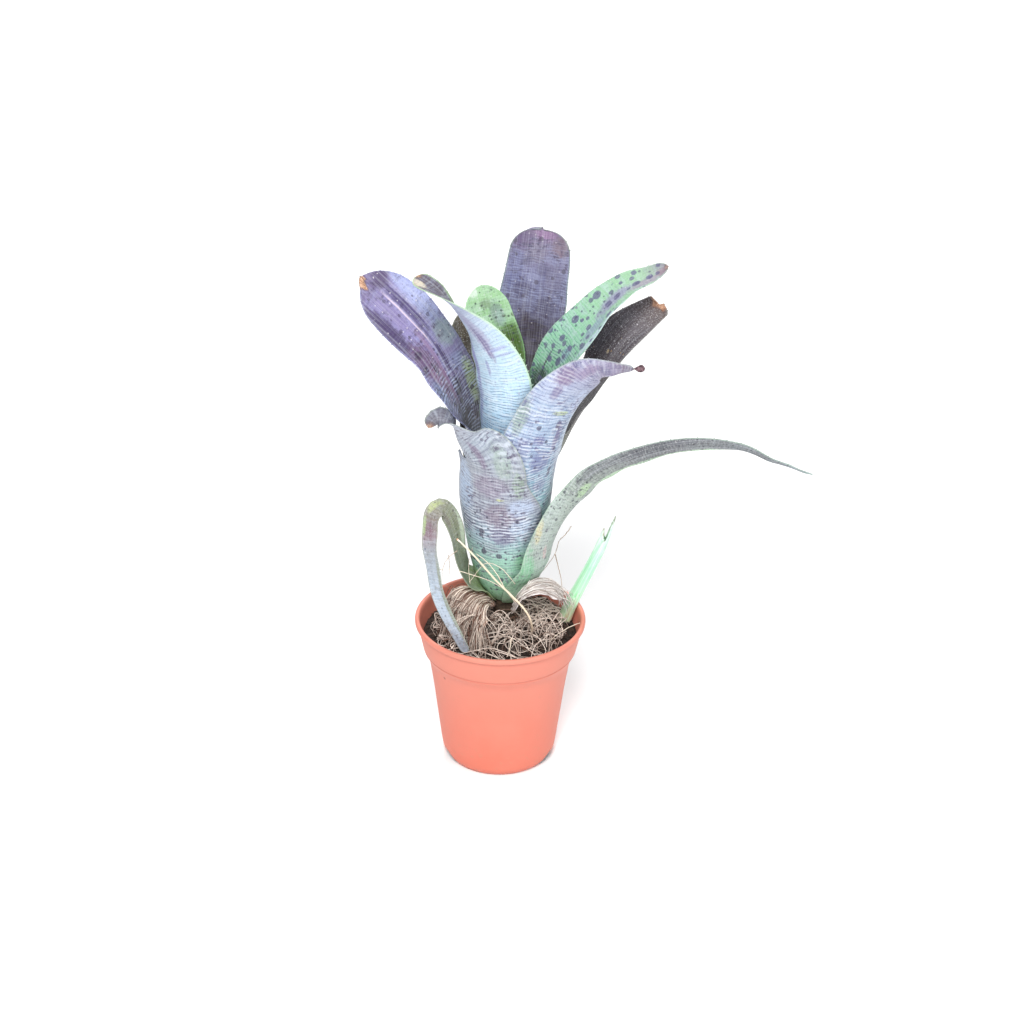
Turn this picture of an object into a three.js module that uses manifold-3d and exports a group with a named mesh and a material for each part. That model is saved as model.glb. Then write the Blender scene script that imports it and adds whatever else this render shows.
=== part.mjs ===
// A neoregelia bromeliad in a 12 cm plastic nursery pot.
// Millimetres, +Z up. The origin is the centre of the pot's flat base.
import * as THREE from 'three';
import { mergeVertices } from 'three/addons/utils/BufferGeometryUtils.js';
import Module from 'manifold-3d';

const wasm = await Module();
wasm.setup();

// ---------------------------------------------------------------- driving dimensions

const clearance = 0.3;              // gap between pieces that touch
const weldTolerance = 0.01;         // detail of joined solids below this is dropped

const potHeight = 110;
const potRimRadius = 60;
const potFloor = 2.2;
const potFootRadius = 35;           // edge of the flat base
const potSegments = 48;
const drainHoleRadius = 4;
const drainHoleCircle = 21;         // the holes leave the centre of the base whole
const drainNotchRadius = 8;         // arched notches in the lower edge
const drainNotchAngles = [-66, 66, 180];

const soilDepth = 12;               // soil below the rim
const soilMound = 10;               // rise of the soil and its roots towards the plant

const plant = new THREE.Vector3(5, 8, potHeight - 13);   // foot of the plant

const leafThickness = 1.1;
const marginThickness = 0.7;
const layerPitch = 1.8;             // radial step from one wrapped sheath to the next
const toothLength = 1.8;
const toothPitch = 13;
const plantLean = -0.9;             // degrees, towards -X

// ---------------------------------------------------------------- colours

const colours = {
  pot: '#e2795f',
  soil: '#4a3527',
  stem: '#6d5c48',
  fibre: '#b99a74',
  strawyRoot: '#d8c29a',
  pup: '#a9e0ae',
};

// ---------------------------------------------------------------- small helpers

const radians = THREE.MathUtils.degToRad;

function makeRandom(seed) {
  let state = seed;
  return () => {
    state = (state * 16807) % 2147483647;
    return state / 2147483647;
  };
}

// Rows of numbers are blended with a uniform Catmull-Rom curve. Each row is one knot.
function smoothRow(rows, position) {
  const last = rows.length - 1;
  const index = Math.min(Math.floor(position), last - 1);
  const t = position - index;
  const at = (k, column) => {
    if (k < 0) return 2 * rows[0][column] - rows[1][column];
    if (k > last) return 2 * rows[last][column] - rows[last - 1][column];
    return rows[k][column];
  };
  return rows[0].map((_, column) => {
    const a = at(index - 1, column);
    const b = at(index, column);
    const c = at(index + 1, column);
    const d = at(index + 2, column);
    const cubic = -a + 3 * b - 3 * c + d;
    const square = 2 * a - 5 * b + 4 * c - d;
    return b + 0.5 * t * (c - a + t * (square + t * cubic));
  });
}

// Piecewise straight interpolation in a list of [position, value] pairs.
function straight(pairs, position) {
  const last = pairs.length - 1;
  if (position <= pairs[0][0]) return pairs[0][1];
  for (let k = 0; k < last; k += 1) {
    const [from, low] = pairs[k];
    const [to, high] = pairs[k + 1];
    if (position <= to) return low + (high - low) * (position - from) / (to - from);
  }
  return pairs[last][1];
}

function bodyFrom(vertices, faces) {
  const geometry = new THREE.BufferGeometry();
  geometry.setAttribute('position', new THREE.Float32BufferAttribute(vertices, 3));
  geometry.setIndex(faces);
  return geometry;
}

// A closed body through rings of equal length, closed by a fan at each end.
// The rings run counter-clockwise when seen from the last ring's side.
function loft(rings) {
  const count = rings[0].length;
  const vertices = [];
  const faces = [];
  for (const ring of rings) {
    for (const point of ring) vertices.push(point.x, point.y, point.z);
  }
  const centreOf = (ring) => {
    const centre = new THREE.Vector3();
    for (const point of ring) centre.addScaledVector(point, 1 / count);
    return centre;
  };
  const first = rings.length * count;
  const last = first + 1;
  const firstCentre = centreOf(rings[0]);
  const lastCentre = centreOf(rings[rings.length - 1]);
  vertices.push(firstCentre.x, firstCentre.y, firstCentre.z);
  vertices.push(lastCentre.x, lastCentre.y, lastCentre.z);
  const top = (rings.length - 1) * count;
  for (let j = 0; j < count; j += 1) {
    const next = (j + 1) % count;
    faces.push(first, next, j);
    faces.push(last, top + j, top + next);
    for (let i = 0; i + 1 < rings.length; i += 1) {
      const low = i * count;
      const high = low + count;
      faces.push(low + j, low + next, high + next);
      faces.push(low + j, high + next, high + j);
    }
  }
  return bodyFrom(vertices, faces);
}

function circle(radius, z, count) {
  const ring = [];
  for (let j = 0; j < count; j += 1) {
    const angle = 2 * Math.PI * j / count;
    ring.push(new THREE.Vector3(radius * Math.cos(angle), radius * Math.sin(angle), z));
  }
  return ring;
}

// A tapering strand along a list of points, with few sides.
function strand(points, radiusAt, sides = 3) {
  const up = new THREE.Vector3(0, 0, 1);
  const rings = points.map((point, i) => {
    const ahead = points[Math.min(i + 1, points.length - 1)];
    const behind = points[Math.max(i - 1, 0)];
    const tangent = ahead.clone().sub(behind).normalize();
    const across = new THREE.Vector3().crossVectors(up, tangent);
    if (across.length() < 0.05) across.set(1, 0, 0);
    across.normalize();
    const over = new THREE.Vector3().crossVectors(tangent, across);
    const radius = radiusAt(i / (points.length - 1));
    const ring = [];
    for (let j = 0; j < sides; j += 1) {
      const angle = 2 * Math.PI * j / sides + Math.PI / 2;
      const corner = point.clone().addScaledVector(across, radius * Math.cos(angle));
      ring.push(corner.addScaledVector(over, radius * Math.sin(angle)));
    }
    return ring;
  });
  return loft(rings);
}

function toSolid(geometry) {
  const bare = geometry.clone();
  bare.deleteAttribute('normal');
  bare.deleteAttribute('uv');
  const merged = mergeVertices(bare, 1e-4);
  const vertProperties = new Float32Array(merged.attributes.position.array);
  const triVerts = new Uint32Array(merged.index.array);
  return new wasm.Manifold(new wasm.Mesh({ numProp: 3, vertProperties, triVerts }));
}

function toGeometry(solid) {
  const mesh = solid.setTolerance(weldTolerance).getMesh();
  return bodyFrom(Array.from(mesh.vertProperties), Array.from(mesh.triVerts));
}

// The largest shell of a joined solid, so that pockets are filled and loose scraps dropped.
function mainShell(solid) {
  const shells = solid.decompose();
  return shells.reduce((best, shell) => (shell.volume() > best.volume() ? shell : best));
}

function joined(geometries) {
  let solid = toSolid(geometries[0]);
  for (const geometry of geometries.slice(1)) solid = solid.add(toSolid(geometry));
  return toGeometry(mainShell(solid));
}

function cutBy(geometry, cutters) {
  let solid = toSolid(geometry);
  for (const cutter of cutters) solid = solid.subtract(toSolid(cutter));
  return toGeometry(mainShell(solid));
}

function piece(name, geometry, colour, roughness = 0.6) {
  const material = new THREE.MeshStandardMaterial({ color: colour, roughness, metalness: 0 });
  const mesh = new THREE.Mesh(geometry, material);
  mesh.name = name;
  return mesh;
}

// ---------------------------------------------------------------- pot

// [radius, height] up the outside. The collar stands proud of the lower wall.
const potOutside = [
  [potFootRadius, 0],
  [potFootRadius + 3, 2],
  [potFootRadius + 5.5, 7],
  [potFootRadius + 7.5, 22],
  [46.8, 57],
  [49.8, 77],
  [51.6, 82.5],
  [54.3, 87.6],
  [57.4, 103],
  [57.8, 105.6],
  [potRimRadius, 106.4],
  [potRimRadius, 109],
  [potRimRadius - 0.8, potHeight],
];

// [radius, height] down the inside, starting at the lip.
const potInside = [
  [potRimRadius - 2.8, potHeight],
  [potRimRadius - 3.8, 108],
  [55.6, 102],
  [52.6, 88],
  [48.2, 77],
  [45.2, 57],
  [potFootRadius + 5.8, 22],
  [potFootRadius + 3.8, 7.4],
  [potFootRadius, potFloor],
];

function makePot() {
  const profile = [[0, 0], ...potOutside, ...potInside, [0, potFloor]];
  const points = profile.map(([radius, height]) => new THREE.Vector2(radius, height));
  const wall = new THREE.LatheGeometry(points, potSegments);
  wall.rotateX(Math.PI / 2);
  const cutters = [];
  for (const angle of [0, 60, 120, 180, 240, 300]) {
    const hole = new THREE.CylinderGeometry(drainHoleRadius, drainHoleRadius, 4 * potFloor, 12);
    hole.rotateX(Math.PI / 2);
    hole.translate(drainHoleCircle, 0, potFloor / 2);
    hole.rotateZ(radians(angle + 30));
    cutters.push(hole);
  }
  for (const angle of drainNotchAngles) {
    const notch = new THREE.CylinderGeometry(drainNotchRadius, drainNotchRadius, 12, 20);
    notch.rotateY(Math.PI / 20);
    notch.translate(0, -potFootRadius - 5, 0);
    notch.rotateZ(radians(angle));
    cutters.push(notch);
  }
  return piece('pot', cutBy(wall, cutters), colours.pot, 0.45);
}

// ---------------------------------------------------------------- stem and soil

const stemRadius = [[-16, 9.6], [0, 10.6], [26, 10.2], [40, 7.6], [60, 4.4], [76, 2.2]];
const stemSides = 14;
const leafScarRelief = 0.5;

function makeStem() {
  const rings = [];
  const foot = stemRadius[0][0];
  const top = stemRadius[stemRadius.length - 1][0];
  const steps = 11;
  for (let i = 0; i <= steps; i += 1) {
    const z = foot + (top - foot) * i / steps;
    const scar = z > 0 && z < 27 && i % 2 === 0 ? leafScarRelief : 0;
    rings.push(circle(straight(stemRadius, z) - scar, z, stemSides));
  }
  return piece('stem', loft(rings), colours.stem, 0.9);
}

const soilSurface = potHeight - soilDepth;
const pupFoot = new THREE.Vector3(45, 14, soilSurface - 8);   // in the pot's frame
const pupBaseRadius = 4.8;

function soilHeight(x, y) {
  const reach = Math.hypot(x - plant.x, y - plant.y) / 50;
  const mound = soilMound * Math.max(0, 1 - reach);
  const lumps = Math.sin(x * 0.42 + 1.3) * Math.cos(y * 0.37 + x * 0.11);
  const grains = Math.sin(x * 1.13 - y * 0.71) * Math.sin(y * 0.97 + 0.6);
  return soilSurface + mound + 0.9 * lumps + 0.6 * grains;
}

function soilBody() {
  const wallGap = clearance + 0.05;
  const segments = potSegments / 2;
  const rings = [];
  const inside = potInside.slice().reverse();
  for (const [radius, height] of inside) {
    if (height >= soilSurface - 3) break;
    const z = height === potFloor ? height + wallGap : height;
    rings.push(circle(radius - wallGap, z, segments));
  }
  const insideByHeight = inside.map(([radius, height]) => [height, radius]);
  const edge = straight(insideByHeight, soilSurface - 2) - wallGap;
  for (const share of [1, 0.88, 0.73, 0.58, 0.43, 0.3, 0.15]) {
    const ring = circle(edge * share, 0, segments);
    for (const point of ring) {
      point.z = share === 1 ? soilSurface - 2 : soilHeight(point.x, point.y);
    }
    rings.push(ring);
  }
  return loft(rings);
}

// A root that lies half in the soil: a ridge whose foot is deep in the soil body.
function ridge(points, halfWidth) {
  const depth = 4;
  const rings = points.map((point, i) => {
    const ahead = points[Math.min(i + 1, points.length - 1)];
    const behind = points[Math.max(i - 1, 0)];
    const across = new THREE.Vector3(behind.y - ahead.y, ahead.x - behind.x, 0).normalize();
    const foot = point.clone().setZ(point.z - depth);
    return [
      point.clone().setZ(point.z + halfWidth),
      foot.clone().addScaledVector(across, halfWidth),
      foot.clone().addScaledVector(across, -halfWidth),
    ];
  });
  return loft(rings);
}

function surfaceRoots() {
  const random = makeRandom(31);
  const roots = [];
  const count = 10;
  for (let k = 0; k < count; k += 1) {
    const angle = 2 * Math.PI * (k + random()) / count;
    const start = 17 + 8 * random();
    const reach = 16 + 12 * random();
    const bend = (random() - 0.5) * 2.2;
    const points = [];
    const steps = 4;
    for (let i = 0; i <= steps; i += 1) {
      const share = i / steps;
      const radius = Math.min(start + reach * share, 47);
      const turned = angle + bend * share * share;
      const x = radius * Math.cos(turned);
      const y = radius * Math.sin(turned);
      points.push(new THREE.Vector3(x, y, soilHeight(x, y) + 0.2));
    }
    roots.push(ridge(points, 1));
  }
  return roots;
}

function makeSoil() {
  const plug = (radius, foot, x, y) => {
    const hole = new THREE.CylinderGeometry(radius, radius, 60, 24);
    hole.rotateX(Math.PI / 2);
    hole.translate(x, y, foot + 30);
    return hole;
  };
  const stemHole = 10.6 + 2 * clearance;
  const stemFoot = plant.z + stemRadius[0][0] - clearance;
  const holes = [
    plug(stemHole, stemFoot, plant.x, plant.y),
    plug(pupBaseRadius + 2 * clearance, pupFoot.z - clearance, pupFoot.x, pupFoot.y),
  ];
  return piece('soil', cutBy(joined([soilBody(), ...surfaceRoots()]), holes), colours.soil, 0.95);
}

// ---------------------------------------------------------------- leaves

// Outer face of the funnel that the wrapped sheaths form: [height, radius].
// All sheaths share these heights, so that their facets nest.
const funnel = [
  [26, 11.6], [30, 15.3], [36, 19.3], [45, 23.4], [56, 26.5], [70, 29.2], [88, 31.8],
  [106, 34], [124, 36], [142, 37.8],
];

// Each leaf points to its azimuth, counted from the front (-Y) towards +X. Its sheath wraps
// the stem by `wrap` degrees to each side, at the foot and at `sheathTop`. The blade's knots
// are [out, side, up, half width, curl, turn]: a place from the plant's axis in millimetres,
// half the width, half the angle of the rolled section and the twist about the length.
// `cap` is the length of the rounded tip in millimetres, and `blunt`, where it's given, makes
// that tip squarer than the round one (2).
const leaves = [
  {
    name: 'leaf_strap_right', colour: '#8c9a86', azimuth: 72, layer: 0, sheathTop: 45,
    wrap: [88, 74], columns: 6, steps: 16, cap: 6, teeth: [0.34, 0.8],
    blade: [
      [30.5, -4, 60, 28, 56, 0], [34, -7, 76, 24, 44, 8], [39.5, -5, 93, 18, 38, 20],
      [49, 0, 109.5, 13.5, 40, 38], [64, 6, 127.5, 10, 34, 56], [95, 15, 143.5, 7.8, 30, 66],
      [127, 23, 151, 6.4, 30, 66], [153, 30, 150, 4.6, 28, 60], [176, 36, 141, 3.2, 20, 50],
      [202, 42, 132, 1.2, 10, 40],
    ],
  },
  {
    name: 'leaf_strap_left', colour: '#7f8a86', azimuth: -80, layer: 0, sheathTop: 36,
    wrap: [40, 38], columns: 6, steps: 18, cap: 4, teeth: null,
    blade: [
      [24, 2.5, 40, 12.8, 34, 8], [30, 6.2, 47, 12.4, 30, 14], [35, 8, 65, 9.4, 26, 30],
      [37.5, 7.3, 84, 8.5, 22, 40], [41.5, 7, 97, 7.5, 20, 43], [47, 8, 103, 7, 20, 38],
      [53, 12, 99, 7, 20, 33], [55.5, 17, 84, 7, 18, 38], [54.5, 23, 64, 6.5, 16, 40],
      [49, 30, 37, 6.2, 14, 45], [35, 41, 7, 4.5, 10, 45],
    ],
  },
  {
    name: 'leaf_front', colour: '#a9a7c6', azimuth: -30, layer: 1, sheathTop: 106,
    wrap: [88, 76], columns: 10, steps: 11, cap: 6, teeth: [0.5, 0.98],
    blade: [
      [34.8, 1, 128, 32.5, 54, 4], [37.5, 0.5, 148, 29.5, 46, 8], [38.5, -11.5, 161, 18.5, 34, 22],
      [41, -19.5, 173, 10.5, 26, 50], [44.5, -28.5, 175, 6.5, 18, 45], [46, -33, 168, 3.5, 14, 40],
    ],
  },
  {
    name: 'leaf_front_right', colour: '#b3aad6', azimuth: 42, layer: 2, sheathTop: 124,
    wrap: [85, 54], columns: 10, steps: 11, cap: 4, teeth: [0.55, 0.9],
    blade: [
      [38.5, -2, 145, 34.5, 58, 3], [43, 4, 170, 32, 52, 2], [49, 11, 192, 27.5, 38, 9],
      [59, 20, 209, 16, 26, 30], [69, 31, 213, 7, 16, 60], [78, 41, 213, 3, 10, 65],
    ],
  },
  {
    name: 'leaf_right_dark', colour: '#4b4143', azimuth: 102, layer: 3, sheathTop: 106,
    wrap: [66, 56], columns: 8, steps: 12, cap: 3, teeth: [0.5, 0.95],
    blade: [
      [29, 5.5, 118, 14.5, 36, 10], [39.5, 9, 130, 14, 42, 20], [51, 6.5, 157, 17.5, 32, 12],
      [65, 2.5, 190, 22.5, 26, -4], [80.5, 0.5, 215.5, 22, 22, -10], [108, 0, 236, 13, 18, -10],
    ],
  },
  {
    name: 'leaf_back_left_dark', colour: '#54484c', azimuth: -142, layer: 3, sheathTop: 106,
    wrap: [46, 44], columns: 8, steps: 9, cap: 20, teeth: [0.6, 0.95],
    blade: [
      [32, 0, 136, 18, 36, 0], [38, 0, 163, 16, 30, 0], [45, 0, 189, 15, 26, 0],
      [52, -2, 222, 12, 22, 0],
    ],
  },
  {
    name: 'leaf_front_left', colour: '#b7c4de', azimuth: -32, layer: 4, sheathTop: 124,
    wrap: [84, 58], columns: 10, steps: 12, cap: 5, teeth: [0.55, 0.95],
    blade: [
      [28, 9, 150, 19.5, 46, -4], [27.5, 12, 175, 20, 46, -5], [28, 11.5, 200, 22.5, 42, -3],
      [31, 5, 225, 20, 30, 5], [35, -11, 246, 17, 24, 30], [38, -27, 260.5, 14, 18, 56],
      [41, -44, 269, 9.5, 12, 70],
    ],
  },
  {
    name: 'leaf_left', colour: '#7d6c9a', azimuth: -99, layer: 5, sheathTop: 124,
    wrap: [80, 60], columns: 8, steps: 11, cap: 24, teeth: [0.5, 0.95],
    blade: [
      [26, -2, 145, 20.5, 46, -10], [29.5, -2, 163, 23, 36, 2], [38, 1, 188, 25, 26, 18],
      [52, 0, 213.5, 23.5, 16, 26], [71, 0, 235, 23, 12, 36], [97, 0, 260, 17, 10, 34],
    ],
  },
  {
    name: 'leaf_back', colour: '#776f8d', azimuth: 156, layer: 6, sheathTop: 124,
    wrap: [84, 58], columns: 10, steps: 10, cap: 17, blunt: 2.4, teeth: [0.5, 0.95],
    blade: [
      [24, -1, 146, 21, 48, -4], [25, -2, 176, 22, 36, -10], [30, -3.5, 204, 23.5, 28, -14],
      [37, -3, 231, 23.5, 22, -14], [44, -4, 257, 21.5, 18, -14], [52, -4, 282, 19, 16, -14],
    ],
  },
  {
    name: 'leaf_right', colour: '#8fcf94', azimuth: 98, layer: 7, sheathTop: 124,
    wrap: [80, 60], columns: 8, steps: 11, cap: 8, teeth: [0.5, 0.95],
    blade: [
      [21, -1, 146, 20, 50, 0], [22, -2, 170, 21, 42, 0], [28.5, -3.5, 190.5, 22.5, 34, -9],
      [40, -3.5, 211.5, 23.5, 28, -14], [57.5, -2, 232, 21, 24, -12], [77, 0, 251, 16, 20, -8],
      [108, 0, 266, 7, 14, -8],
    ],
  },
  {
    name: 'leaf_inner_small', colour: '#8fd48a', azimuth: -165, layer: 8, sheathTop: 124,
    wrap: [74, 62], columns: 8, steps: 9, cap: 16, teeth: null,
    blade: [
      [17.5, 0, 150, 15.5, 50, 0], [17.5, -1, 180, 16, 40, 0], [19.5, 0.5, 205, 17.5, 28, 0],
      [25, 6, 229, 16, 24, 0], [31, 9, 248, 13, 20, 0],
    ],
  },
];

function attachHeight(inset) {
  let z = funnel[0][0];
  const seat = leafThickness / 2 + clearance;
  while (straight(funnel, z) - inset < straight(stemRadius, z) + seat) z += 0.1;
  return z;
}

// Knots of the sheath: the blade's six numbers and a seventh, 1 where the section is level.
function sheathKnots(leaf) {
  const inset = leaf.layer * layerPitch;
  const foot = attachHeight(inset);
  const heights = funnel.map(([height]) => height);
  const kept = heights.filter((height) => height > foot + 2 && height <= leaf.sheathTop);
  return [foot, ...kept].map((z) => {
    const share = (z - foot) / (leaf.sheathTop - foot);
    const wrap = leaf.wrap[0] + (leaf.wrap[1] - leaf.wrap[0]) * share;
    const radius = straight(funnel, z) - inset;
    return [radius, 0, z, radius * radians(wrap), wrap, 0, 1];
  });
}

// Stations along the leaf: the sheath's own knots, then the blade at even steps, which
// close up in the rounded tip.
function stations(leaf) {
  const sheath = leaf.wrap ? sheathKnots(leaf) : [];
  const knots = [...sheath, ...leaf.blade.map((row) => [...row, 0])];
  const start = Math.max(sheath.length - 1, 0);
  const samples = [];
  const fine = 20;
  for (let i = start * fine; i <= (knots.length - 1) * fine; i += 1) {
    samples.push(smoothRow(knots, i / fine));
  }
  const lengths = [0];
  for (let i = 1; i < samples.length; i += 1) {
    const [a, b] = [samples[i - 1], samples[i]];
    lengths.push(lengths[i - 1] + Math.hypot(b[0] - a[0], b[1] - a[1], b[2] - a[2]));
  }
  const total = lengths[lengths.length - 1];
  const rowAt = (length) => {
    let i = 1;
    while (i < lengths.length - 1 && lengths[i] < length) i += 1;
    const t = (length - lengths[i - 1]) / (lengths[i] - lengths[i - 1]);
    return samples[i].map((value, column) => {
      const before = samples[i - 1][column];
      return before + (value - before) * t;
    });
  };
  const rows = sheath.slice(0, start);
  if (leaf.cap === 0) {
    for (let i = 0; i <= leaf.steps; i += 1) rows.push(rowAt(total * i / leaf.steps));
    return rows;
  }
  const capSteps = leaf.cap > 10 ? 4 : 2;
  const blunt = leaf.blunt ?? 2;
  for (let i = 0; i < leaf.steps; i += 1) {
    rows.push(rowAt((total - leaf.cap) * i / leaf.steps));
  }
  for (let i = 0; i <= capSteps; i += 1) {
    const share = Math.sin(Math.PI / 2 * i / capSteps);
    const row = rowAt(total - leaf.cap + leaf.cap * share);
    row[3] = Math.max(row[3] * (1 - share ** blunt) ** (1 / blunt), 0.7);
    rows.push(row);
  }
  return rows;
}

function leafAxes(azimuth) {
  const angle = radians(azimuth);
  return {
    out: new THREE.Vector3(Math.sin(angle), -Math.cos(angle), 0),
    side: new THREE.Vector3(Math.cos(angle), Math.sin(angle), 0),
    up: new THREE.Vector3(0, 0, 1),
  };
}

// Middle surface of a leaf as rows of points, one row for each station.
function leafGrid(leaf) {
  const axes = leafAxes(leaf.azimuth);
  const rows = stations(leaf);
  const place = ([out, side, up]) => new THREE.Vector3()
    .addScaledVector(axes.out, out)
    .addScaledVector(axes.side, side)
    .addScaledVector(axes.up, up);
  const centres = rows.map(place);
  return rows.map((row, i) => {
    const [, , , half, curl, turn, level] = row;
    const ahead = centres[Math.min(i + 1, rows.length - 1)];
    const behind = centres[Math.max(i - 1, 0)];
    const tangent = ahead.clone().sub(behind);
    tangent.addScaledVector(axes.side, -tangent.dot(axes.side) * level).normalize();
    const rise = tangent.dot(axes.up);
    const lean = tangent.dot(axes.out);
    const face = axes.up.clone().multiplyScalar(lean).addScaledVector(axes.out, -rise);
    face.addScaledVector(tangent, -face.dot(tangent)).normalize();
    face.lerp(axes.out.clone().negate(), level).normalize();
    const across = new THREE.Vector3().crossVectors(face, tangent).normalize();
    const twist = radians(turn);
    const turnedFace = face.clone().multiplyScalar(Math.cos(twist));
    turnedFace.addScaledVector(across, Math.sin(twist));
    const turnedAcross = across.clone().multiplyScalar(Math.cos(twist));
    turnedAcross.addScaledVector(face, -Math.sin(twist));
    const bend = radians(curl);
    const points = [];
    for (let j = 0; j <= leaf.columns; j += 1) {
      const angle = bend * (2 * j / leaf.columns - 1);
      const point = centres[i].clone();
      point.addScaledVector(turnedFace, half * (1 - Math.cos(angle)) / bend);
      point.addScaledVector(turnedAcross, half * Math.sin(angle) / bend);
      if (leaf.ragged && i === rows.length - 1) {
        point.addScaledVector(tangent, leaf.ragged[j % leaf.ragged.length]);
      }
      points.push(point);
    }
    return points;
  });
}

// A thin closed body on both sides of a grid of points, thinner at the two margins.
function bladeBody(grid, thickness, edge) {
  const rowCount = grid.length;
  const columnCount = grid[0].length;
  const vertices = [];
  const faces = [];
  const offsets = grid.map((row, i) => row.map((point, j) => {
    const right = row[Math.min(j + 1, columnCount - 1)];
    const left = row[Math.max(j - 1, 0)];
    const ahead = grid[Math.min(i + 1, rowCount - 1)][j];
    const behind = grid[Math.max(i - 1, 0)][j];
    const across = right.clone().sub(left);
    const along = ahead.clone().sub(behind);
    const margin = Math.abs(2 * j / (columnCount - 1) - 1) ** 3;
    const half = (thickness + (edge - thickness) * margin) / 2;
    return across.cross(along).normalize().multiplyScalar(half);
  }));
  for (const side of [-1, 1]) {
    grid.forEach((row, i) => row.forEach((point, j) => {
      const moved = point.clone().addScaledVector(offsets[i][j], side);
      vertices.push(moved.x, moved.y, moved.z);
    }));
  }
  const outer = (i, j) => i * columnCount + j;
  const inner = (i, j) => outer(i, j) + rowCount * columnCount;
  const wall = (a, b, c, d) => faces.push(a, b, c, a, c, d);
  for (let i = 0; i + 1 < rowCount; i += 1) {
    for (let j = 0; j + 1 < columnCount; j += 1) {
      wall(inner(i, j), inner(i, j + 1), inner(i + 1, j + 1), inner(i + 1, j));
      faces.push(outer(i, j), outer(i + 1, j + 1), outer(i, j + 1));
      faces.push(outer(i, j), outer(i + 1, j), outer(i + 1, j + 1));
    }
    const end = columnCount - 1;
    wall(outer(i, 0), inner(i, 0), inner(i + 1, 0), outer(i + 1, 0));
    wall(outer(i, end), outer(i + 1, end), inner(i + 1, end), inner(i, end));
  }
  const top = rowCount - 1;
  for (let j = 0; j + 1 < columnCount; j += 1) {
    wall(outer(0, j), outer(0, j + 1), inner(0, j + 1), inner(0, j));
    wall(outer(top, j), inner(top, j), inner(top, j + 1), outer(top, j + 1));
  }
  return bodyFrom(vertices, faces);
}

// One marginal spine: a small pyramid with its root sunk in the margin.
function tooth(root, outward, along, normal) {
  const reach = toothLength;
  const base = root.clone().addScaledVector(outward, -1);
  const tip = root.clone().addScaledVector(outward, reach).addScaledVector(along, 0.7);
  const corner = (a, n) => base.clone().addScaledVector(along, a).addScaledVector(normal, n);
  const corners = [corner(-1, 0.28), corner(-1, -0.28), corner(1, -0.28), corner(1, 0.28)];
  const vertices = [...corners, tip].flatMap((point) => [point.x, point.y, point.z]);
  const faces = [0, 1, 2, 0, 2, 3, 1, 0, 4, 2, 1, 4, 3, 2, 4, 0, 3, 4];
  const body = bodyFrom(vertices, faces);
  const volume = corners[1].clone().sub(corners[0])
    .cross(corners[2].clone().sub(corners[0])).dot(tip.clone().sub(corners[0]));
  if (volume > 0) body.setIndex(faces.map((_, k) => faces[k - (k % 3) + 2 - (k % 3)]));
  return body;
}

function marginTeeth(grid, [from, to]) {
  const teeth = [];
  const columnCount = grid[0].length;
  for (const [edge, inner] of [[0, 1], [columnCount - 1, columnCount - 2]]) {
    const line = grid.map((row) => row[edge]);
    const lengths = [0];
    for (let i = 1; i < line.length; i += 1) {
      lengths.push(lengths[i - 1] + line[i].distanceTo(line[i - 1]));
    }
    const total = lengths[lengths.length - 1];
    for (let at = from * total; at < to * total; at += toothPitch) {
      let i = 1;
      while (lengths[i] < at) i += 1;
      const t = (at - lengths[i - 1]) / (lengths[i] - lengths[i - 1]);
      const root = line[i - 1].clone().lerp(line[i], t);
      const along = line[i].clone().sub(line[i - 1]).normalize();
      const inside = grid[i - 1][inner].clone().lerp(grid[i][inner], t);
      const outward = root.clone().sub(inside);
      outward.addScaledVector(along, -outward.dot(along)).normalize();
      const normal = new THREE.Vector3().crossVectors(outward, along);
      teeth.push(tooth(root, outward, along, normal));
    }
  }
  return teeth;
}

function makeLeaf(leaf) {
  const grid = leafGrid(leaf);
  const blade = bladeBody(grid, leafThickness, marginThickness);
  const bodies = leaf.teeth ? [blade, ...marginTeeth(grid, leaf.teeth)] : [blade];
  return piece(leaf.name, joined(bodies), leaf.colour, 0.5);
}

// ---------------------------------------------------------------- dead leaf bases and pup

// Dry remains of old leaves: the blade's knots are as above, with a torn lower edge.
const huskLeft = {
  azimuth: -60, columns: 8, steps: 6, cap: 0, ragged: [0, -5, 1, -3, 2, -6, 1, -2, -4],
  blade: [
    [12, 0, 24, 6, -20, 0], [22.5, 0, 33.5, 15, -34, 0], [32, 0, 34.5, 22, -44, 0],
    [39, 0, 27, 26, -46, 0], [43, 0, 16, 27, -46, 0],
  ],
};

const huskRight = {
  azimuth: 90, columns: 6, steps: 8, cap: 0, ragged: [0, -3, -1, 1, -2, 0, -4],
  blade: [
    [3.5, -12.6, 22, 4, -20, 0], [6.6, -24.6, 33, 4, -26, 0], [10, -29.6, 43.5, 5, -30, 0],
    [18.2, -28.8, 48.8, 8, -34, 0], [26, -21.6, 46, 9, -36, 0], [32.5, -15.5, 41, 10, -36, 0],
    [38, -9.5, 33, 7.5, -30, 0],
  ],
};

// Fibres that run down the back of a husk, following its columns.
function huskFibres(grid, columns) {
  return columns.map((column) => {
    const line = grid.slice(1).map((row) => row[column].clone());
    return strand(line, (share) => 1.5 - 0.6 * share);
  });
}

function makeHusk(name, husk, fibreColumns) {
  const grid = leafGrid(husk);
  const shell = bladeBody(grid, 1.4, 1);
  return piece(name, joined([shell, ...huskFibres(grid, fibreColumns)]), colours.fibre, 0.9);
}

const straw = {
  radius: 0.9,
  points: [
    [17, -21, -0.45], [17.2, -28, 9], [15.5, -32.5, 19], [10.5, -34, 29], [2, -33.5, 38.5],
    [-9, -31.5, 49.5], [-24.5, -31, 69], [-35, -30, 80],
  ],
};

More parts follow.
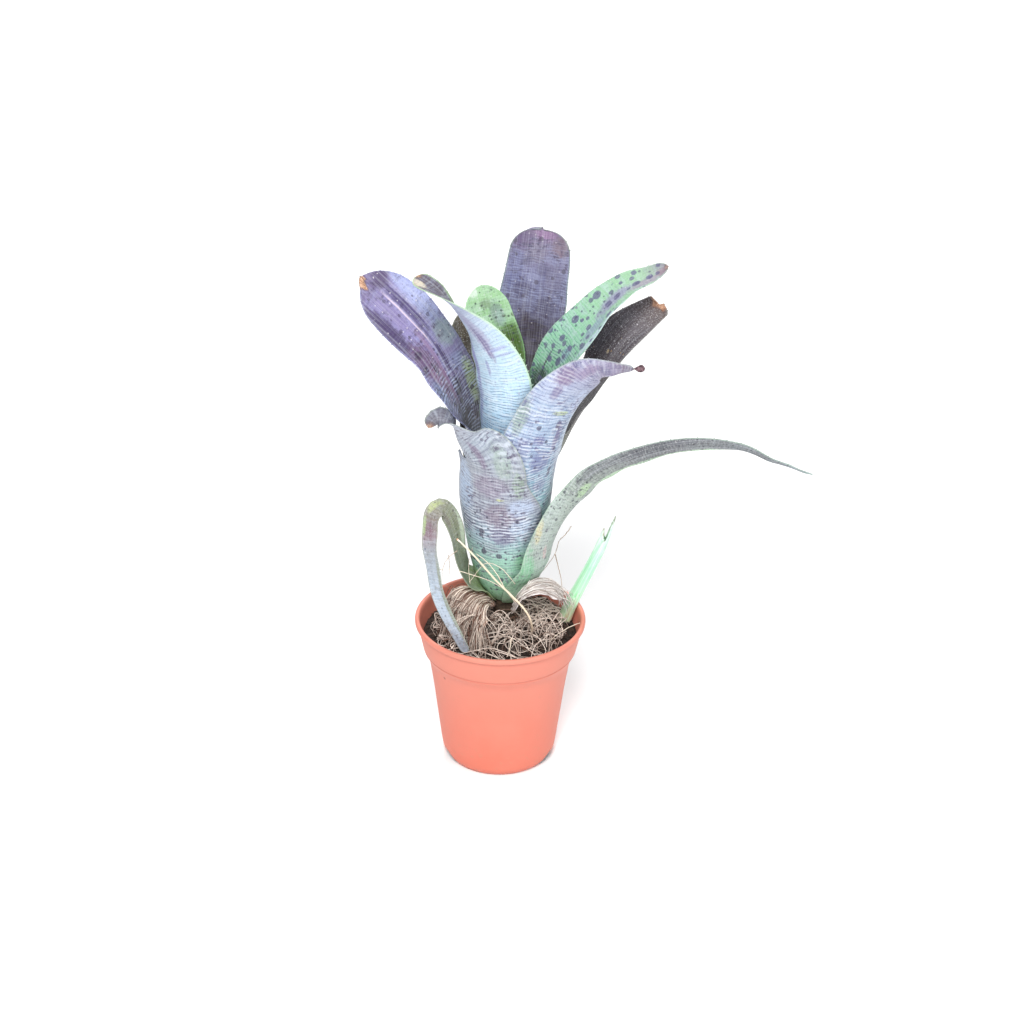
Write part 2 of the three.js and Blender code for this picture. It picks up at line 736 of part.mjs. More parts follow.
function makeStraw() {
  const [x, y] = straw.points[0];
  const foot = soilHeight(x + plant.x, y + plant.y) - plant.z + clearance;
  const points = straw.points.map((point) => new THREE.Vector3(...point).setZ(point[2] + foot));
  const mesh = piece('straw', strand(points, () => straw.radius, 4), colours.strawyRoot, 0.8);
  mesh.position.copy(plant);
  return mesh;
}

// The pup leans outwards from the soil: [out, side, up, half width, half depth] along its tube,
// which is torn off at the top and hollow for part of its length.
const pup = {
  azimuth: 90,
  path: [
    [0, 0, -8, 4.6, 4.4], [1, 0, 2, 4.8, 4.7], [5.4, 0, 16, 5, 4.9], [13.2, 0, 34, 4.9, 4.6],
    [21, 0, 52, 4.8, 4.3], [25.4, 0, 63, 4.7, 4.1], [29.6, 0, 75, 4.5, 3.6],
  ],
  sides: 12,
  hollowFrom: 3,                    // knot at which the hollow starts
  wall: 1,
  torn: [9, 7, 0, -8, -9, -6, -1, -6, -10, -7, 1, 7],
  tornLean: 0.1,                    // how far a torn strip leans outwards for its length
  bract: {
    azimuth: 60, columns: 4, steps: 4, cap: 0, ragged: [-4, 1, 4, 0, -5],
    blade: [[4.4, 0, 3, 4.6, 50, 0], [7, 0, 12, 4.9, 50, 0], [11, 0, 24, 3.8, 40, 0]],
  },
};

function pupRing([out, side, up, halfWidth, halfDepth], tear) {
  const axes = leafAxes(pup.azimuth);
  const ring = [];
  for (let j = 0; j < pup.sides; j += 1) {
    const angle = 2 * Math.PI * j / pup.sides;
    const point = new THREE.Vector3(0, 0, up + tear[j]);
    point.addScaledVector(axes.out, out + pup.tornLean * tear[j] + halfDepth * Math.cos(angle));
    point.addScaledVector(axes.side, side + halfWidth * Math.sin(angle));
    ring.push(point);
  }
  return ring;
}

function makePup() {
  const whole = pup.torn.map(() => 0);
  const last = pup.path.length - 1;
  const rings = pup.path.map((row, i) => pupRing(row, i === last ? pup.torn : whole));
  for (let i = last; i >= pup.hollowFrom; i -= 1) {
    const [out, side, up, halfWidth, halfDepth] = pup.path[i];
    const inner = [out, side, up, halfWidth - pup.wall, halfDepth - pup.wall];
    rings.push(pupRing(inner, i === last ? pup.torn : whole));
  }
  const bract = bladeBody(leafGrid(pup.bract), leafThickness, marginThickness);
  const mesh = piece('pup', joined([loft(rings), bract]), colours.pup, 0.5);
  mesh.position.set(pupFoot.x, pupFoot.y, soilSurface);
  return mesh;
}

// ---------------------------------------------------------------- assembly

const bromeliad = new THREE.Group();
bromeliad.add(makePot());
bromeliad.add(makeSoil());

const rosette = new THREE.Group();
rosette.position.copy(plant);
rosette.rotation.y = radians(plantLean);
rosette.add(makeStem());
for (const leaf of leaves) rosette.add(makeLeaf(leaf));
rosette.add(makeHusk('husk_left', huskLeft, [1, 3, 5, 7]));
rosette.add(makeHusk('husk_right', huskRight, [1, 3, 5]));
bromeliad.add(rosette);
bromeliad.add(makeStraw());
bromeliad.add(makePup());

export default bromeliad;
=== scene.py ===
"""The looks of a potted neoregelia bromeliad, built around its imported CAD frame.

Lengths in the tables are millimetres in the CAD's frame: the origin is the centre of the pot's
flat base, +Z is up and -Y faces the viewer. Meshes, lamps and the camera are placed in metres.
"""
import math

import bpy
import numpy as np
from mathutils import Matrix, Vector


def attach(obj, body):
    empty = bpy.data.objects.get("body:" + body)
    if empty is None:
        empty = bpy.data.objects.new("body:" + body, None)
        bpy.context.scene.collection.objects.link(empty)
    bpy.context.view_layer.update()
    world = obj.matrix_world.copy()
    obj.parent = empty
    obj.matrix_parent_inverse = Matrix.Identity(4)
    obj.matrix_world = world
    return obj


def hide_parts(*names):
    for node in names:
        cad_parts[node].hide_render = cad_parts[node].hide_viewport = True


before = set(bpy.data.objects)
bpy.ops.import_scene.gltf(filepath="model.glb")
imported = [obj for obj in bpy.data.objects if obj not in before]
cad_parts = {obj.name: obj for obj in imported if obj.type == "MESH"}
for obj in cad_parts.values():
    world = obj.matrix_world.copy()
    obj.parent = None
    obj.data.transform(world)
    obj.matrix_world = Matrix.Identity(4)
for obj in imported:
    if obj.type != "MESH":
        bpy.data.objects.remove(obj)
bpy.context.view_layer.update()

MM = 0.001

# ------------------------------------------------------------------ sizes shared with the CAD

CLEARANCE = 0.3
POT_HEIGHT = 110.0
SOIL_DEPTH = 12.0
SOIL_MOUND = 10.0
SOIL_SURFACE = POT_HEIGHT - SOIL_DEPTH
PLANT = np.array([5.0, 8.0, POT_HEIGHT - 13.0])
PLANT_LEAN = math.radians(-0.9)
LEAF_THICKNESS = 1.1
MARGIN_THICKNESS = 0.7
LAYER_PITCH = 1.8
PUP_FOOT = np.array([45.0, 14.0, SOIL_SURFACE])

# [height, radius] of the funnel of sheaths and of the stem, from the plant's foot.
FUNNEL = [
    [26, 11.6], [30, 15.3], [36, 19.3], [45, 23.4], [56, 26.5], [70, 29.2], [88, 31.8],
    [106, 34], [124, 36], [142, 37.8],
]
STEM_RADIUS = [[-16, 9.6], [0, 10.6], [26, 10.2], [40, 7.6], [60, 4.4], [76, 2.2]]

# Leaves, as in the CAD. Blade knots are [out, side, up, half width, curl, turn], with lengths from
# the plant's foot and angles in degrees. wrap is how far the sheath reaches each way round the
# funnel at its foot and its top, cap the length of the rounded tip, and teeth the margin's spines:
# [from share, to share, pitch, length].
LEAVES = [
    dict(
        name="leaf_strap_right", azimuth=72, layer=0, sheath_top=45, wrap=[88, 74],
        cap=6, teeth=[0.3, 0.93, 9, 1.3],
        blade=[
            [30.5, -4, 60, 28, 56, 0], [34, -7, 76, 24, 44, 8], [39.5, -5, 93, 18, 38, 20],
            [49, 0, 109.5, 13.5, 40, 38], [64, 6, 127.5, 10, 34, 56], [95, 15, 143.5, 7.8, 30, 66],
            [127, 23, 151, 6.4, 30, 66], [153, 30, 150, 4.6, 28, 60], [176, 36, 141, 3.2, 20, 50],
            [202, 42, 132, 1.2, 10, 40],
        ],
    ),
    dict(
        name="leaf_strap_left", azimuth=-80, layer=0, sheath_top=36, wrap=[40, 38],
        cap=4, teeth=[0.3, 0.95, 9, 0.7],
        blade=[
            [24, 2.5, 40, 12.8, 34, 8], [30, 6.2, 47, 12.4, 30, 14], [35, 8, 65, 9.4, 26, 30],
            [37.5, 7.3, 84, 8.5, 22, 40], [41.5, 7, 97, 7.5, 20, 43], [47, 8, 103, 7, 20, 38],
            [53, 12, 99, 7, 20, 33], [55.5, 17, 84, 7, 18, 38], [54.5, 23, 64, 6.5, 16, 40],
            [49, 30, 37, 6.2, 14, 45], [35, 41, 7, 4.5, 10, 45],
        ],
    ),
    dict(
        name="leaf_front", azimuth=-30, layer=1, sheath_top=106, wrap=[88, 76],
        cap=6, teeth=[0.5, 0.97, 6, 1.2],
        blade=[
            [34.8, 1, 128, 32.5, 54, 4], [37.5, 0.5, 148, 29.5, 46, 8],
            [38.5, -11.5, 161, 18.5, 34, 22], [41, -19.5, 173, 10.5, 26, 50],
            [44.5, -28.5, 175, 6.5, 18, 45], [46, -33, 168, 3.5, 14, 40],
        ],
    ),
    dict(
        name="leaf_front_right", azimuth=42, layer=2, sheath_top=124, wrap=[85, 54],
        cap=4, teeth=[0.55, 0.93, 6, 1.3],
        blade=[
            [38.5, -2, 145, 34.5, 58, 3], [43, 4, 170, 32, 52, 2], [49, 11, 192, 27.5, 38, 9],
            [59, 20, 209, 16, 26, 30], [69, 31, 213, 7, 16, 60], [78, 41, 213, 3, 10, 65],
        ],
    ),
    dict(
        name="leaf_right_dark", azimuth=102, layer=3, sheath_top=106, wrap=[66, 56],
        cap=3, teeth=[0.45, 0.97, 6, 1.1],
        blade=[
            [29, 5.5, 118, 14.5, 36, 10], [39.5, 9, 130, 14, 42, 20], [51, 6.5, 157, 17.5, 32, 12],
            [65, 2.5, 190, 22.5, 26, -4], [80.5, 0.5, 215.5, 22, 22, -10],
            [108, 0, 236, 13, 18, -10],
        ],
    ),
    dict(
        name="leaf_back_left_dark", azimuth=-142, layer=3, sheath_top=106, wrap=[46, 44],
        cap=20, teeth=[0.55, 0.95, 6, 1.1],
        blade=[
            [32, 0, 136, 18, 36, 0], [38, 0, 163, 16, 30, 0], [45, 0, 189, 15, 26, 0],
            [52, -2, 222, 12, 22, 0],
        ],
    ),
    dict(
        name="leaf_front_left", azimuth=-32, layer=4, sheath_top=124, wrap=[84, 58],
        cap=5, teeth=[0.5, 0.95, 5.5, 1.5],
        blade=[
            [28, 9, 150, 19.5, 46, -4], [27.5, 12, 175, 20, 46, -5], [28, 11.5, 200, 22.5, 42, -3],
            [31, 5, 225, 20, 30, 5], [35, -11, 246, 17, 24, 30], [38, -27, 260.5, 14, 18, 56],
            [41, -44, 269, 9.5, 12, 70],
        ],
    ),
    dict(
        name="leaf_left", azimuth=-99, layer=5, sheath_top=124, wrap=[80, 60],
        cap=24, teeth=[0.45, 0.95, 7, 1.1],
        blade=[
            [26, -2, 145, 20.5, 46, -10], [29.5, -2, 163, 23, 36, 2], [38, 1, 188, 25, 26, 18],
            [52, 0, 213.5, 23.5, 16, 26], [71, 0, 235, 23, 12, 36], [97, 0, 260, 17, 10, 34],
        ],
    ),
    dict(
        name="leaf_back", azimuth=156, layer=6, sheath_top=124, wrap=[84, 58],
        cap=17, blunt=2.4, teeth=[0.45, 0.97, 7, 1.1],
        blade=[
            [24, -1, 146, 21, 48, -4], [25, -2, 176, 22, 36, -10], [30, -3.5, 204, 23.5, 28, -14],
            [37, -3, 231, 23.5, 22, -14], [44, -4, 257, 21.5, 18, -14], [52, -4, 282, 19, 16, -14],
        ],
    ),
    dict(
        name="leaf_right", azimuth=98, layer=7, sheath_top=124, wrap=[80, 60],
        cap=8, teeth=[0.45, 0.96, 7, 1.2],
        blade=[
            [21, -1, 146, 20, 50, 0], [22, -2, 170, 21, 42, 0], [28.5, -3.5, 190.5, 22.5, 34, -9],
            [40, -3.5, 211.5, 23.5, 28, -14], [57.5, -2, 232, 21, 24, -12],
            [77, 0, 251, 16, 20, -8], [108, 0, 266, 7, 14, -8],
        ],
    ),
    dict(
        name="leaf_inner_small", azimuth=-165, layer=8, sheath_top=124, wrap=[74, 62],
        cap=16, teeth=[0.5, 0.9, 6, 0.8],
        blade=[
            [17.5, 0, 150, 15.5, 50, 0], [17.5, -1, 180, 16, 40, 0], [19.5, 0.5, 205, 17.5, 28, 0],
            [25, 6, 229, 16, 24, 0], [31, 9, 248, 13, 20, 0],
        ],
    ),
]

# ------------------------------------------------------------------ small helpers


def straight(pairs, position):
    """The value at a position, on straight lines between [position, value] pairs."""
    positions, values = zip(*pairs)
    return float(np.interp(position, positions, values))


def curve_through(knots, count):
    """Points of a uniform Catmull-Rom curve through rows of knots, as in the CAD."""
    rows = np.asarray(knots, float)
    positions = np.linspace(0, len(rows) - 1, count)
    padded = np.vstack([2 * rows[0] - rows[1], rows, 2 * rows[-1] - rows[-2]])
    index = np.clip(np.floor(positions).astype(int), 0, len(rows) - 2)
    t = (positions - index)[:, None]
    a, b, c, d = (padded[index + k] for k in range(4))
    cubic = -a + 3 * b - 3 * c + d
    square = 2 * a - 5 * b + 4 * c - d
    return b + 0.5 * t * (c - a + t * (square + t * cubic))


def unit(vectors):
    return vectors / np.maximum(np.linalg.norm(vectors, axis=-1, keepdims=True), 1e-9)


def level_axes(azimuth):
    """Level directions outwards and sideways at an azimuth in degrees, which is 0 at -Y."""
    angle = math.radians(azimuth)
    out = np.array([math.sin(angle), -math.cos(angle), 0.0])
    side = np.array([math.cos(angle), math.sin(angle), 0.0])
    return out, side


def circle_angles(count):
    """Even angles round a circle, in radians."""
    return 2 * np.pi * np.arange(count) / count


def level_ring(radius, height, count):
    angles = circle_angles(count)
    return np.column_stack([radius * np.cos(angles), radius * np.sin(angles),
                            np.full(count, height)])


def side_faces(rings, sides, first=0):
    """Quads between rings of vertices that are numbered one ring after another."""
    faces = []
    for low in range(first, first + (rings - 1) * sides, sides):
        for k in range(sides):
            n = (k + 1) % sides
            faces.append((low + k, low + n, low + sides + n, low + sides + k))
    return faces


def tube_faces(rings, sides, first=0):
    """The same quads, with a flat face over the first ring and over the last."""
    last = first + (rings - 1) * sides
    ends = [tuple(range(first, first + sides))[::-1], tuple(range(last, last + sides))]
    return side_faces(rings, sides, first) + ends


def to_pot_frame(points):
    """From the plant's frame, which leans a little, to the pot's."""
    c, s = math.cos(PLANT_LEAN), math.sin(PLANT_LEAN)
    x, y, z = points[..., 0], points[..., 1], points[..., 2]
    return np.stack([x * c + z * s, y, z * c - x * s], axis=-1) + PLANT


def linear(hex_colour):
    """A linear RGBA colour from an sRGB hex string."""
    channels = [int(hex_colour[k:k + 2], 16) / 255 for k in (1, 3, 5)]
    lin = [c / 12.92 if c <= 0.04045 else ((c + 0.055) / 1.055) ** 2.4 for c in channels]
    return (*lin, 1.0)


def add_object(name, data):
    made = bpy.data.objects.new(name, data)
    bpy.context.scene.collection.objects.link(made)
    return made


def add_piece(name, vertices, faces, material, attributes=None, smooth=True):
    """A mesh piece, given in millimetres, that rides on the pot."""
    mesh = bpy.data.meshes.new(name)
    mesh.from_pydata((np.asarray(vertices) * MM).tolist(), [], faces)
    for key, values in (attributes or {}).items():
        layer = mesh.attributes.new(key, "FLOAT", "POINT")
        layer.data.foreach_set("value", np.asarray(values, np.float32))
    if smooth:
        mesh.polygons.foreach_set("use_smooth", [True] * len(mesh.polygons))
    mesh.materials.append(material)
    piece = add_object(name, mesh)
    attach(piece, "root")
    return piece


# ------------------------------------------------------------------ node materials


class Value:
    """A node's output. Sums and products of values make maths nodes."""

    def __init__(self, graph, socket):
        self.graph = graph
        self.socket = socket

    def __add__(self, other):
        return self.graph.maths("ADD", self, other)

    def __sub__(self, number):
        return self + -number

    def __mul__(self, other):
        return self.graph.maths("MULTIPLY", self, other)

    def __truediv__(self, number):
        return self * (1 / number)

    def between(self, low, high, end=1.0, start=0.0):
        """A smooth step from start at low to end at high."""
        inputs = {"Value": self, "From Min": low, "From Max": high,
                  "To Min": start, "To Max": end}
        return self.graph.node("ShaderNodeMapRange", inputs, interpolation_type="SMOOTHSTEP")[0]


class Graph:
    """A short way to write a node material: colour is its base colour as painted so far."""

    def __init__(self, name):
        self.material = bpy.data.materials.new(name)
        self.material.use_nodes = True
        self.tree = self.material.node_tree
        self.shader = self.tree.nodes["Principled BSDF"]
        self.colour = None

    def feed(self, socket, value):
        if isinstance(value, Value):
            self.tree.links.new(value.socket, socket)
        else:
            socket.default_value = value

    def node(self, kind, inputs, **settings):
        """The outputs of a new node, as values."""
        node = self.tree.nodes.new(kind)
        for key, value in settings.items():
            setattr(node, key, value)
        for key, value in inputs.items():
            self.feed(node.inputs[key], value)
        return [Value(self, socket) for socket in node.outputs]

    def attribute(self, name):
        return self.node("ShaderNodeAttribute", {}, attribute_name=name)[2]

    def position(self):
        """The place on the object, in metres."""
        return self.node("ShaderNodeTexCoord", {})[3]

    def parts(self, vector):
        return self.node("ShaderNodeSeparateXYZ", {0: vector})

    def vector(self, x, y, z=0.0):
        return self.node("ShaderNodeCombineXYZ", {0: x, 1: y, 2: z})[0]

    def maths(self, operation, a, b=0.0):
        return self.node("ShaderNodeMath", {0: a, 1: b}, operation=operation)[0]

    def noise(self, vector, scale=1.0, detail=2.0, roughness=0.5):
        inputs = {"Vector": vector, "Scale": scale, "Detail": detail, "Roughness": roughness,
                  "Distortion": 0.0}
        return self.node("ShaderNodeTexNoise", inputs)[0]

    def stretched(self, places, scales, shift=0.0, **settings):
        """Noise with its own scale along each of three axes, or of two and shifted in depth."""
        axes = [place * scale for place, scale in zip(places, scales)]
        if len(axes) == 2:
            axes.append(shift)
        return self.noise(self.vector(*axes), **settings)

    def cells(self, vector, scale, randomness=1.0, dimensions="3D"):
        """Distance to the nearest cell's centre, and a random number for each cell."""
        inputs = {"Vector": vector, "Scale": scale, "Randomness": randomness}
        outputs = self.node("ShaderNodeTexVoronoi", inputs, voronoi_dimensions=dimensions)
        return outputs[0], self.parts(outputs[1])[0]

    def dots(self, vector, scale, radii, chances, randomness=1.0, dimensions="3D"):
        """Dots that fade between two radii, in the cells whose number is over the chances."""
        distance, chance = self.cells(vector, scale, randomness, dimensions)
        return distance.between(*radii) * chance.between(*chances)

    def mix(self, factor, a, b, blend="MIX"):
        return self.node("ShaderNodeMix", {0: factor, 6: a, 7: b}, data_type="RGBA",
                         blend_type=blend)[2]

    def base(self, factor, first, second):
        """The first layer of colour, between two."""
        self.colour = self.mix(factor, linear(first), linear(second))

    def paint(self, factor, tint):
        """Another colour over the colour so far."""
        self.colour = self.mix(factor, self.colour, linear(tint))

    def ramp(self, value, stops):
        """A colour that follows (place, colour) stops."""
        output = self.node("ShaderNodeValToRGB", {0: value})[0]
        elements = output.socket.node.color_ramp.elements
        while len(elements) < len(stops):
            elements.new(1.0)
        for element, (place, colour) in zip(elements, stops):
            element.position = place
            element.color = linear(colour)
        return output

    def levels(self, value, stops):
        """An amount that follows (place, amount) stops."""
        output = self.node("ShaderNodeFloatCurve", {"Value": value})[0]
        mapping = output.socket.node.mapping
        points = mapping.curves[0].points
        points[0].location = (0.0, stops[0][1])
        points[1].location = (1.0, stops[-1][1])
        for place, amount in stops:
            if 0 < place < 1:
                points.new(place, amount)
        for point in points:
            point.handle_type = "VECTOR"
        mapping.update()
        return output

    def bump(self, height, depth):
        """Relief up to a depth in millimetres."""
        inputs = {"Height": height, "Distance": depth * MM, "Strength": 1.0}
        return self.node("ShaderNodeBump", inputs)[0]

    def finish(self, roughness, normal=None, **constants):
        self.feed(self.shader.inputs["Base Color"], self.colour)
        self.feed(self.shader.inputs["Roughness"], roughness)
        if normal is not None:
            self.feed(self.shader.inputs["Normal"], normal)
        for key, value in constants.items():
            self.shader.inputs[key.replace("_", " ")].default_value = value
        return self.material


# ------------------------------------------------------------------ leaf shapes

ROW_STEP = 2.6
CAP_ROWS = 12
LEAF_COLUMNS = 26
SKIN_SHARE = 0.8            # the skin's thickness over the CAD leaf's


def sheath_knots(leaf):
    """Knots of the wrapped sheath; the seventh number is 1 where the section is level."""
    inset = leaf["layer"] * LAYER_PITCH
    foot = FUNNEL[0][0]
    seat = LEAF_THICKNESS / 2 + CLEARANCE
    while straight(FUNNEL, foot) - inset < straight(STEM_RADIUS, foot) + seat:
        foot += 0.1
    top = leaf["sheath_top"]
    heights = [foot] + [z for z, _ in FUNNEL if foot + 2 < z <= top]
    knots = []
    for z in heights:
        share = (z - foot) / (top - foot)
        wrap = leaf["wrap"][0] + (leaf["wrap"][1] - leaf["wrap"][0]) * share
        radius = straight(FUNNEL, z) - inset
        knots.append([radius, 0, z, radius * math.radians(wrap), wrap, 0, 1])
    return knots


def stations(leaf):
    """Rows along the leaf at even steps, closing up in its rounded tip, and their lengths."""
    sheath = sheath_knots(leaf) if "wrap" in leaf else []
    knots = sheath + [[*row, 0] for row in leaf["blade"]]
    fine = curve_through(knots, 60 * (len(knots) - 1) + 1)
    steps = np.linalg.norm(np.diff(fine[:, :3], axis=0), axis=1)
    lengths = np.concatenate([[0], np.cumsum(steps)])
    total = lengths[-1]
    cap = leaf.get("cap", 0)
    places = np.linspace(0, total - cap, int((total - cap) / ROW_STEP) + 1)
    narrowing = np.ones(len(places))
    if cap:
        share = np.sin(np.pi / 2 * np.arange(1, CAP_ROWS + 1) / CAP_ROWS)
        places = np.concatenate([places, total - cap + cap * share])
        blunt = leaf.get("blunt", 2)
        rounded_off = np.maximum(1 - share ** blunt, 0) ** (1 / blunt)
        narrowing = np.concatenate([narrowing, rounded_off])
    rows = np.stack([np.interp(places, lengths, fine[:, k]) for k in range(7)], axis=1)
    rows[:, 3] = np.maximum(rows[:, 3] * narrowing, 0.5)
    return rows, places, total


def leaf_grid(leaf, columns):
    """Middle surface of a leaf, its tangents, and each point's place on the flat leaf."""
    rows, places, total = stations(leaf)
    out, side = level_axes(leaf["azimuth"])
    up = np.array([0.0, 0.0, 1.0])
    centres = rows[:, :1] * out + rows[:, 1:2] * side + rows[:, 2:3] * up
    level = rows[:, 6:7]
    tangents = unit(np.gradient(centres, places, axis=0))
    tangents = unit(tangents - level * (tangents @ side)[:, None] * side)
    lean = tangents @ out
    rise = tangents @ up
    face = lean[:, None] * up - rise[:, None] * out
    face = unit(face - np.sum(face * tangents, axis=1, keepdims=True) * tangents)
    face = unit(face * (1 - level) - out * level)
    across = unit(np.cross(face, tangents))
    turn = np.radians(rows[:, 5:6])
    turned_face = face * np.cos(turn) + across * np.sin(turn)
    turned_across = across * np.cos(turn) - face * np.sin(turn)
    bend = np.radians(rows[:, 4:5])
    spread = np.linspace(-1, 1, columns + 1)[None, :]
    angle = bend * spread
    half = rows[:, 3:4]
    towards_face = half * (1 - np.cos(angle)) / bend
    towards_side = half * np.sin(angle) / bend
    grid = (centres[:, None, :] + towards_face[..., None] * turned_face[:, None, :]
            + towards_side[..., None] * turned_across[:, None, :])
    flat = {"along": places[:, None], "share": places[:, None] / total,
            "tip": total - places[:, None], "blade": 1 - level, "spread": spread}
    flat = {key: np.broadcast_to(values, grid.shape[:2]) for key, values in flat.items()}
    flat["across"] = half * spread
    flat["edge"] = np.minimum(half - np.abs(flat["across"]), flat["tip"] + 0.4)
    return grid, tangents, flat


def grid_normals(grid):
    return unit(np.cross(np.gradient(grid, axis=1), np.gradient(grid, axis=0)))


def torn_at_tip(grid, tangents, lengths, fade):
    """The grid with each column drawn out or back by its own length, where fade allows."""
    return grid + tangents[:, None, :] * (lengths[None, :] * fade)[..., None]


def shell(grid, normals, half_thickness, rim):
    """A closed thin body round a grid: rings that run over one face, the rounded margin
    and the other face. Returns vertices, faces, each vertex's (row, column), and how far it is
    from the outer face, 0, to the inner one, 1."""
    rows, columns = grid.shape[:2]
    outer = grid + normals * half_thickness[..., None]
    inner = grid - normals * half_thickness[..., None]
    right = grid[:, -1] + unit(grid[:, -1] - grid[:, -2]) * rim
    left = grid[:, 0] + unit(grid[:, 0] - grid[:, 1]) * rim
    rings = np.concatenate(
        [outer, right[:, None], inner[:, ::-1], left[:, None]], axis=1)
    width = rings.shape[1]
    faces = side_faces(rows, width)
    for base, flip in ((0, True), ((rows - 1) * width, False)):
        end = base + 2 * columns
        cap = [(base + j, base + j + 1, end - j - 1, end - j) for j in range(columns - 1)]
        cap.append((base + columns - 1, base + columns, base + columns + 1))
        cap.append((end, end + 1, base))
        faces += [face[::-1] if flip else face for face in cap]
    column = np.concatenate([np.arange(columns), [columns - 1],
                             np.arange(columns)[::-1], [0]])
    inside = np.concatenate([np.zeros(columns), [0.5], np.ones(columns), [0.5]])
    index = np.stack([np.repeat(np.arange(rows), width), np.tile(column, rows)], axis=1)
    return rings.reshape(-1, 3), faces, index, np.tile(inside, rows)


def on_vertices(flat, index, lengths, shares=("share",)):
    """The flat leaf's lengths, in metres, and shares at each vertex's (row, column)."""
    row, column = index.T
    values = {key: flat[key][row, column] * MM for key in lengths}
    values.update({key: flat[key][row, column] for key in shares})
    return values


def margin_spines(grid, teeth, random):
    """Small curved thorns along both margins: [from, to, pitch, length]. Returns vertices,
    faces and the (row, column) that each vertex grows from."""
    start, end, pitch, length = teeth
    vertices, faces, places = [], [], []
    for edge, inner in ((0, 1), (-1, -2)):
        line = grid[:, edge]
        steps = np.linalg.norm(np.diff(line, axis=0), axis=1)
        run = np.concatenate([[0], np.cumsum(steps)])
        at = start * run[-1]
        while at < end * run[-1]:
            i = int(np.clip(np.searchsorted(run, at), 1, len(run) - 1))
            t = (at - run[i - 1]) / max(run[i] - run[i - 1], 1e-6)
            root = line[i - 1] * (1 - t) + line[i] * t
            along = unit(line[i] - line[i - 1])
            outward = root - (grid[i - 1, inner] * (1 - t) + grid[i, inner] * t)
            outward = unit(outward - np.dot(outward, along) * along)
            normal = np.cross(outward, along)
            size = length * random.uniform(0.7, 1.15)
            base = root - outward * 0.4
            waist = root + outward * 0.45 * size
            first = len(vertices)
            for a, n in ((-1, 0.3), (-1, -0.3), (1, -0.3), (1, 0.3)):
                vertices.append(base + along * a * 0.42 * size + normal * n)
            for a, n in ((-1, 0.14), (-1, -0.14), (1, -0.14), (1, 0.14)):
                vertices.append(waist + along * (0.3 * size + a * 0.16 * size) + normal * n)
            vertices.append(root + outward * size + along * 0.75 * size)
            for k in range(4):
                n = (k + 1) % 4
                faces.append((first + k, first + n, first + 4 + n, first + 4 + k))
                faces.append((first + 4 + k, first + 4 + n, first + 8))
            faces.append((first + 3, first + 2, first + 1, first))
            row = i if t > 0.5 else i - 1
            places += [(row, 0 if edge == 0 else grid.shape[1] - 1)] * 9
            at += pitch * random.uniform(0.75, 1.25)
    return vertices, faces, places


def leaf_relief(flat, phase, crease):
    """Waves of the margin, low swells, the groove of the midrib and a crease along it."""
    along, across = flat["along"], flat["across"]
    wave = 0.5 * np.sin(along / 5.5 + phase[0] + 2 * np.sin(along / 23 + phase[1]))
    relief = wave * np.abs(flat["spread"]) ** 3
    relief = relief + 0.3 * np.sin(along / 17 + phase[2]) * np.cos(across / 6 + phase[3])
    relief = relief - 0.28 * np.exp(-(across / 1.6) ** 2)
    relief = relief + crease * np.exp(-(across / 2.4) ** 2)
    return relief * flat["blade"]


def make_leaf(leaf, look):
    """A leaf's skin over its CAD node. Returns the grid of its middle surface."""
    random = np.random.default_rng(sum(map(ord, leaf["name"])))
    grid, tangents, flat = leaf_grid(leaf, LEAF_COLUMNS)
    relief = leaf_relief(flat, random.uniform(0, 6.28, 4), look.get("crease", 0.0))
    grid = grid + grid_normals(grid) * relief[..., None]
    if "ragged" in look:
        torn = look["ragged"] * np.interp(np.linspace(0, 12, LEAF_COLUMNS + 1), np.arange(13),
                                          random.uniform(-1, 0.2, 13))
        fade = np.clip(1 - flat["tip"] / (leaf["cap"] + 4), 0, 1) ** 2
        grid = torn_at_tip(grid, tangents, torn, fade)
    margin = np.abs(flat["spread"]) ** 3
    thick = (LEAF_THICKNESS + (MARGIN_THICKNESS - LEAF_THICKNESS) * margin) / 2 * SKIN_SHARE
    vertices, faces, index, inside = shell(grid, grid_normals(grid), thick, 0.25)
    spines, spine_faces, places = margin_spines(grid, leaf["teeth"], random)
    faces += [tuple(k + len(vertices) for k in face) for face in spine_faces]
    vertices = np.vstack([vertices, spines])
    index = np.vstack([index, places])
    attributes = on_vertices(flat, index, ("along", "across", "edge", "tip"))
    attributes["inside"] = np.concatenate([inside, np.full(len(places), 0.5)])
    material = leaf_material(leaf["name"] + "_surface", look)
    piece = add_piece(leaf["name"] + "_skin", to_pot_frame(vertices), faces, material,
                      attributes)
    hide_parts(leaf["name"])
    return grid


# ------------------------------------------------------------------ leaf surfaces


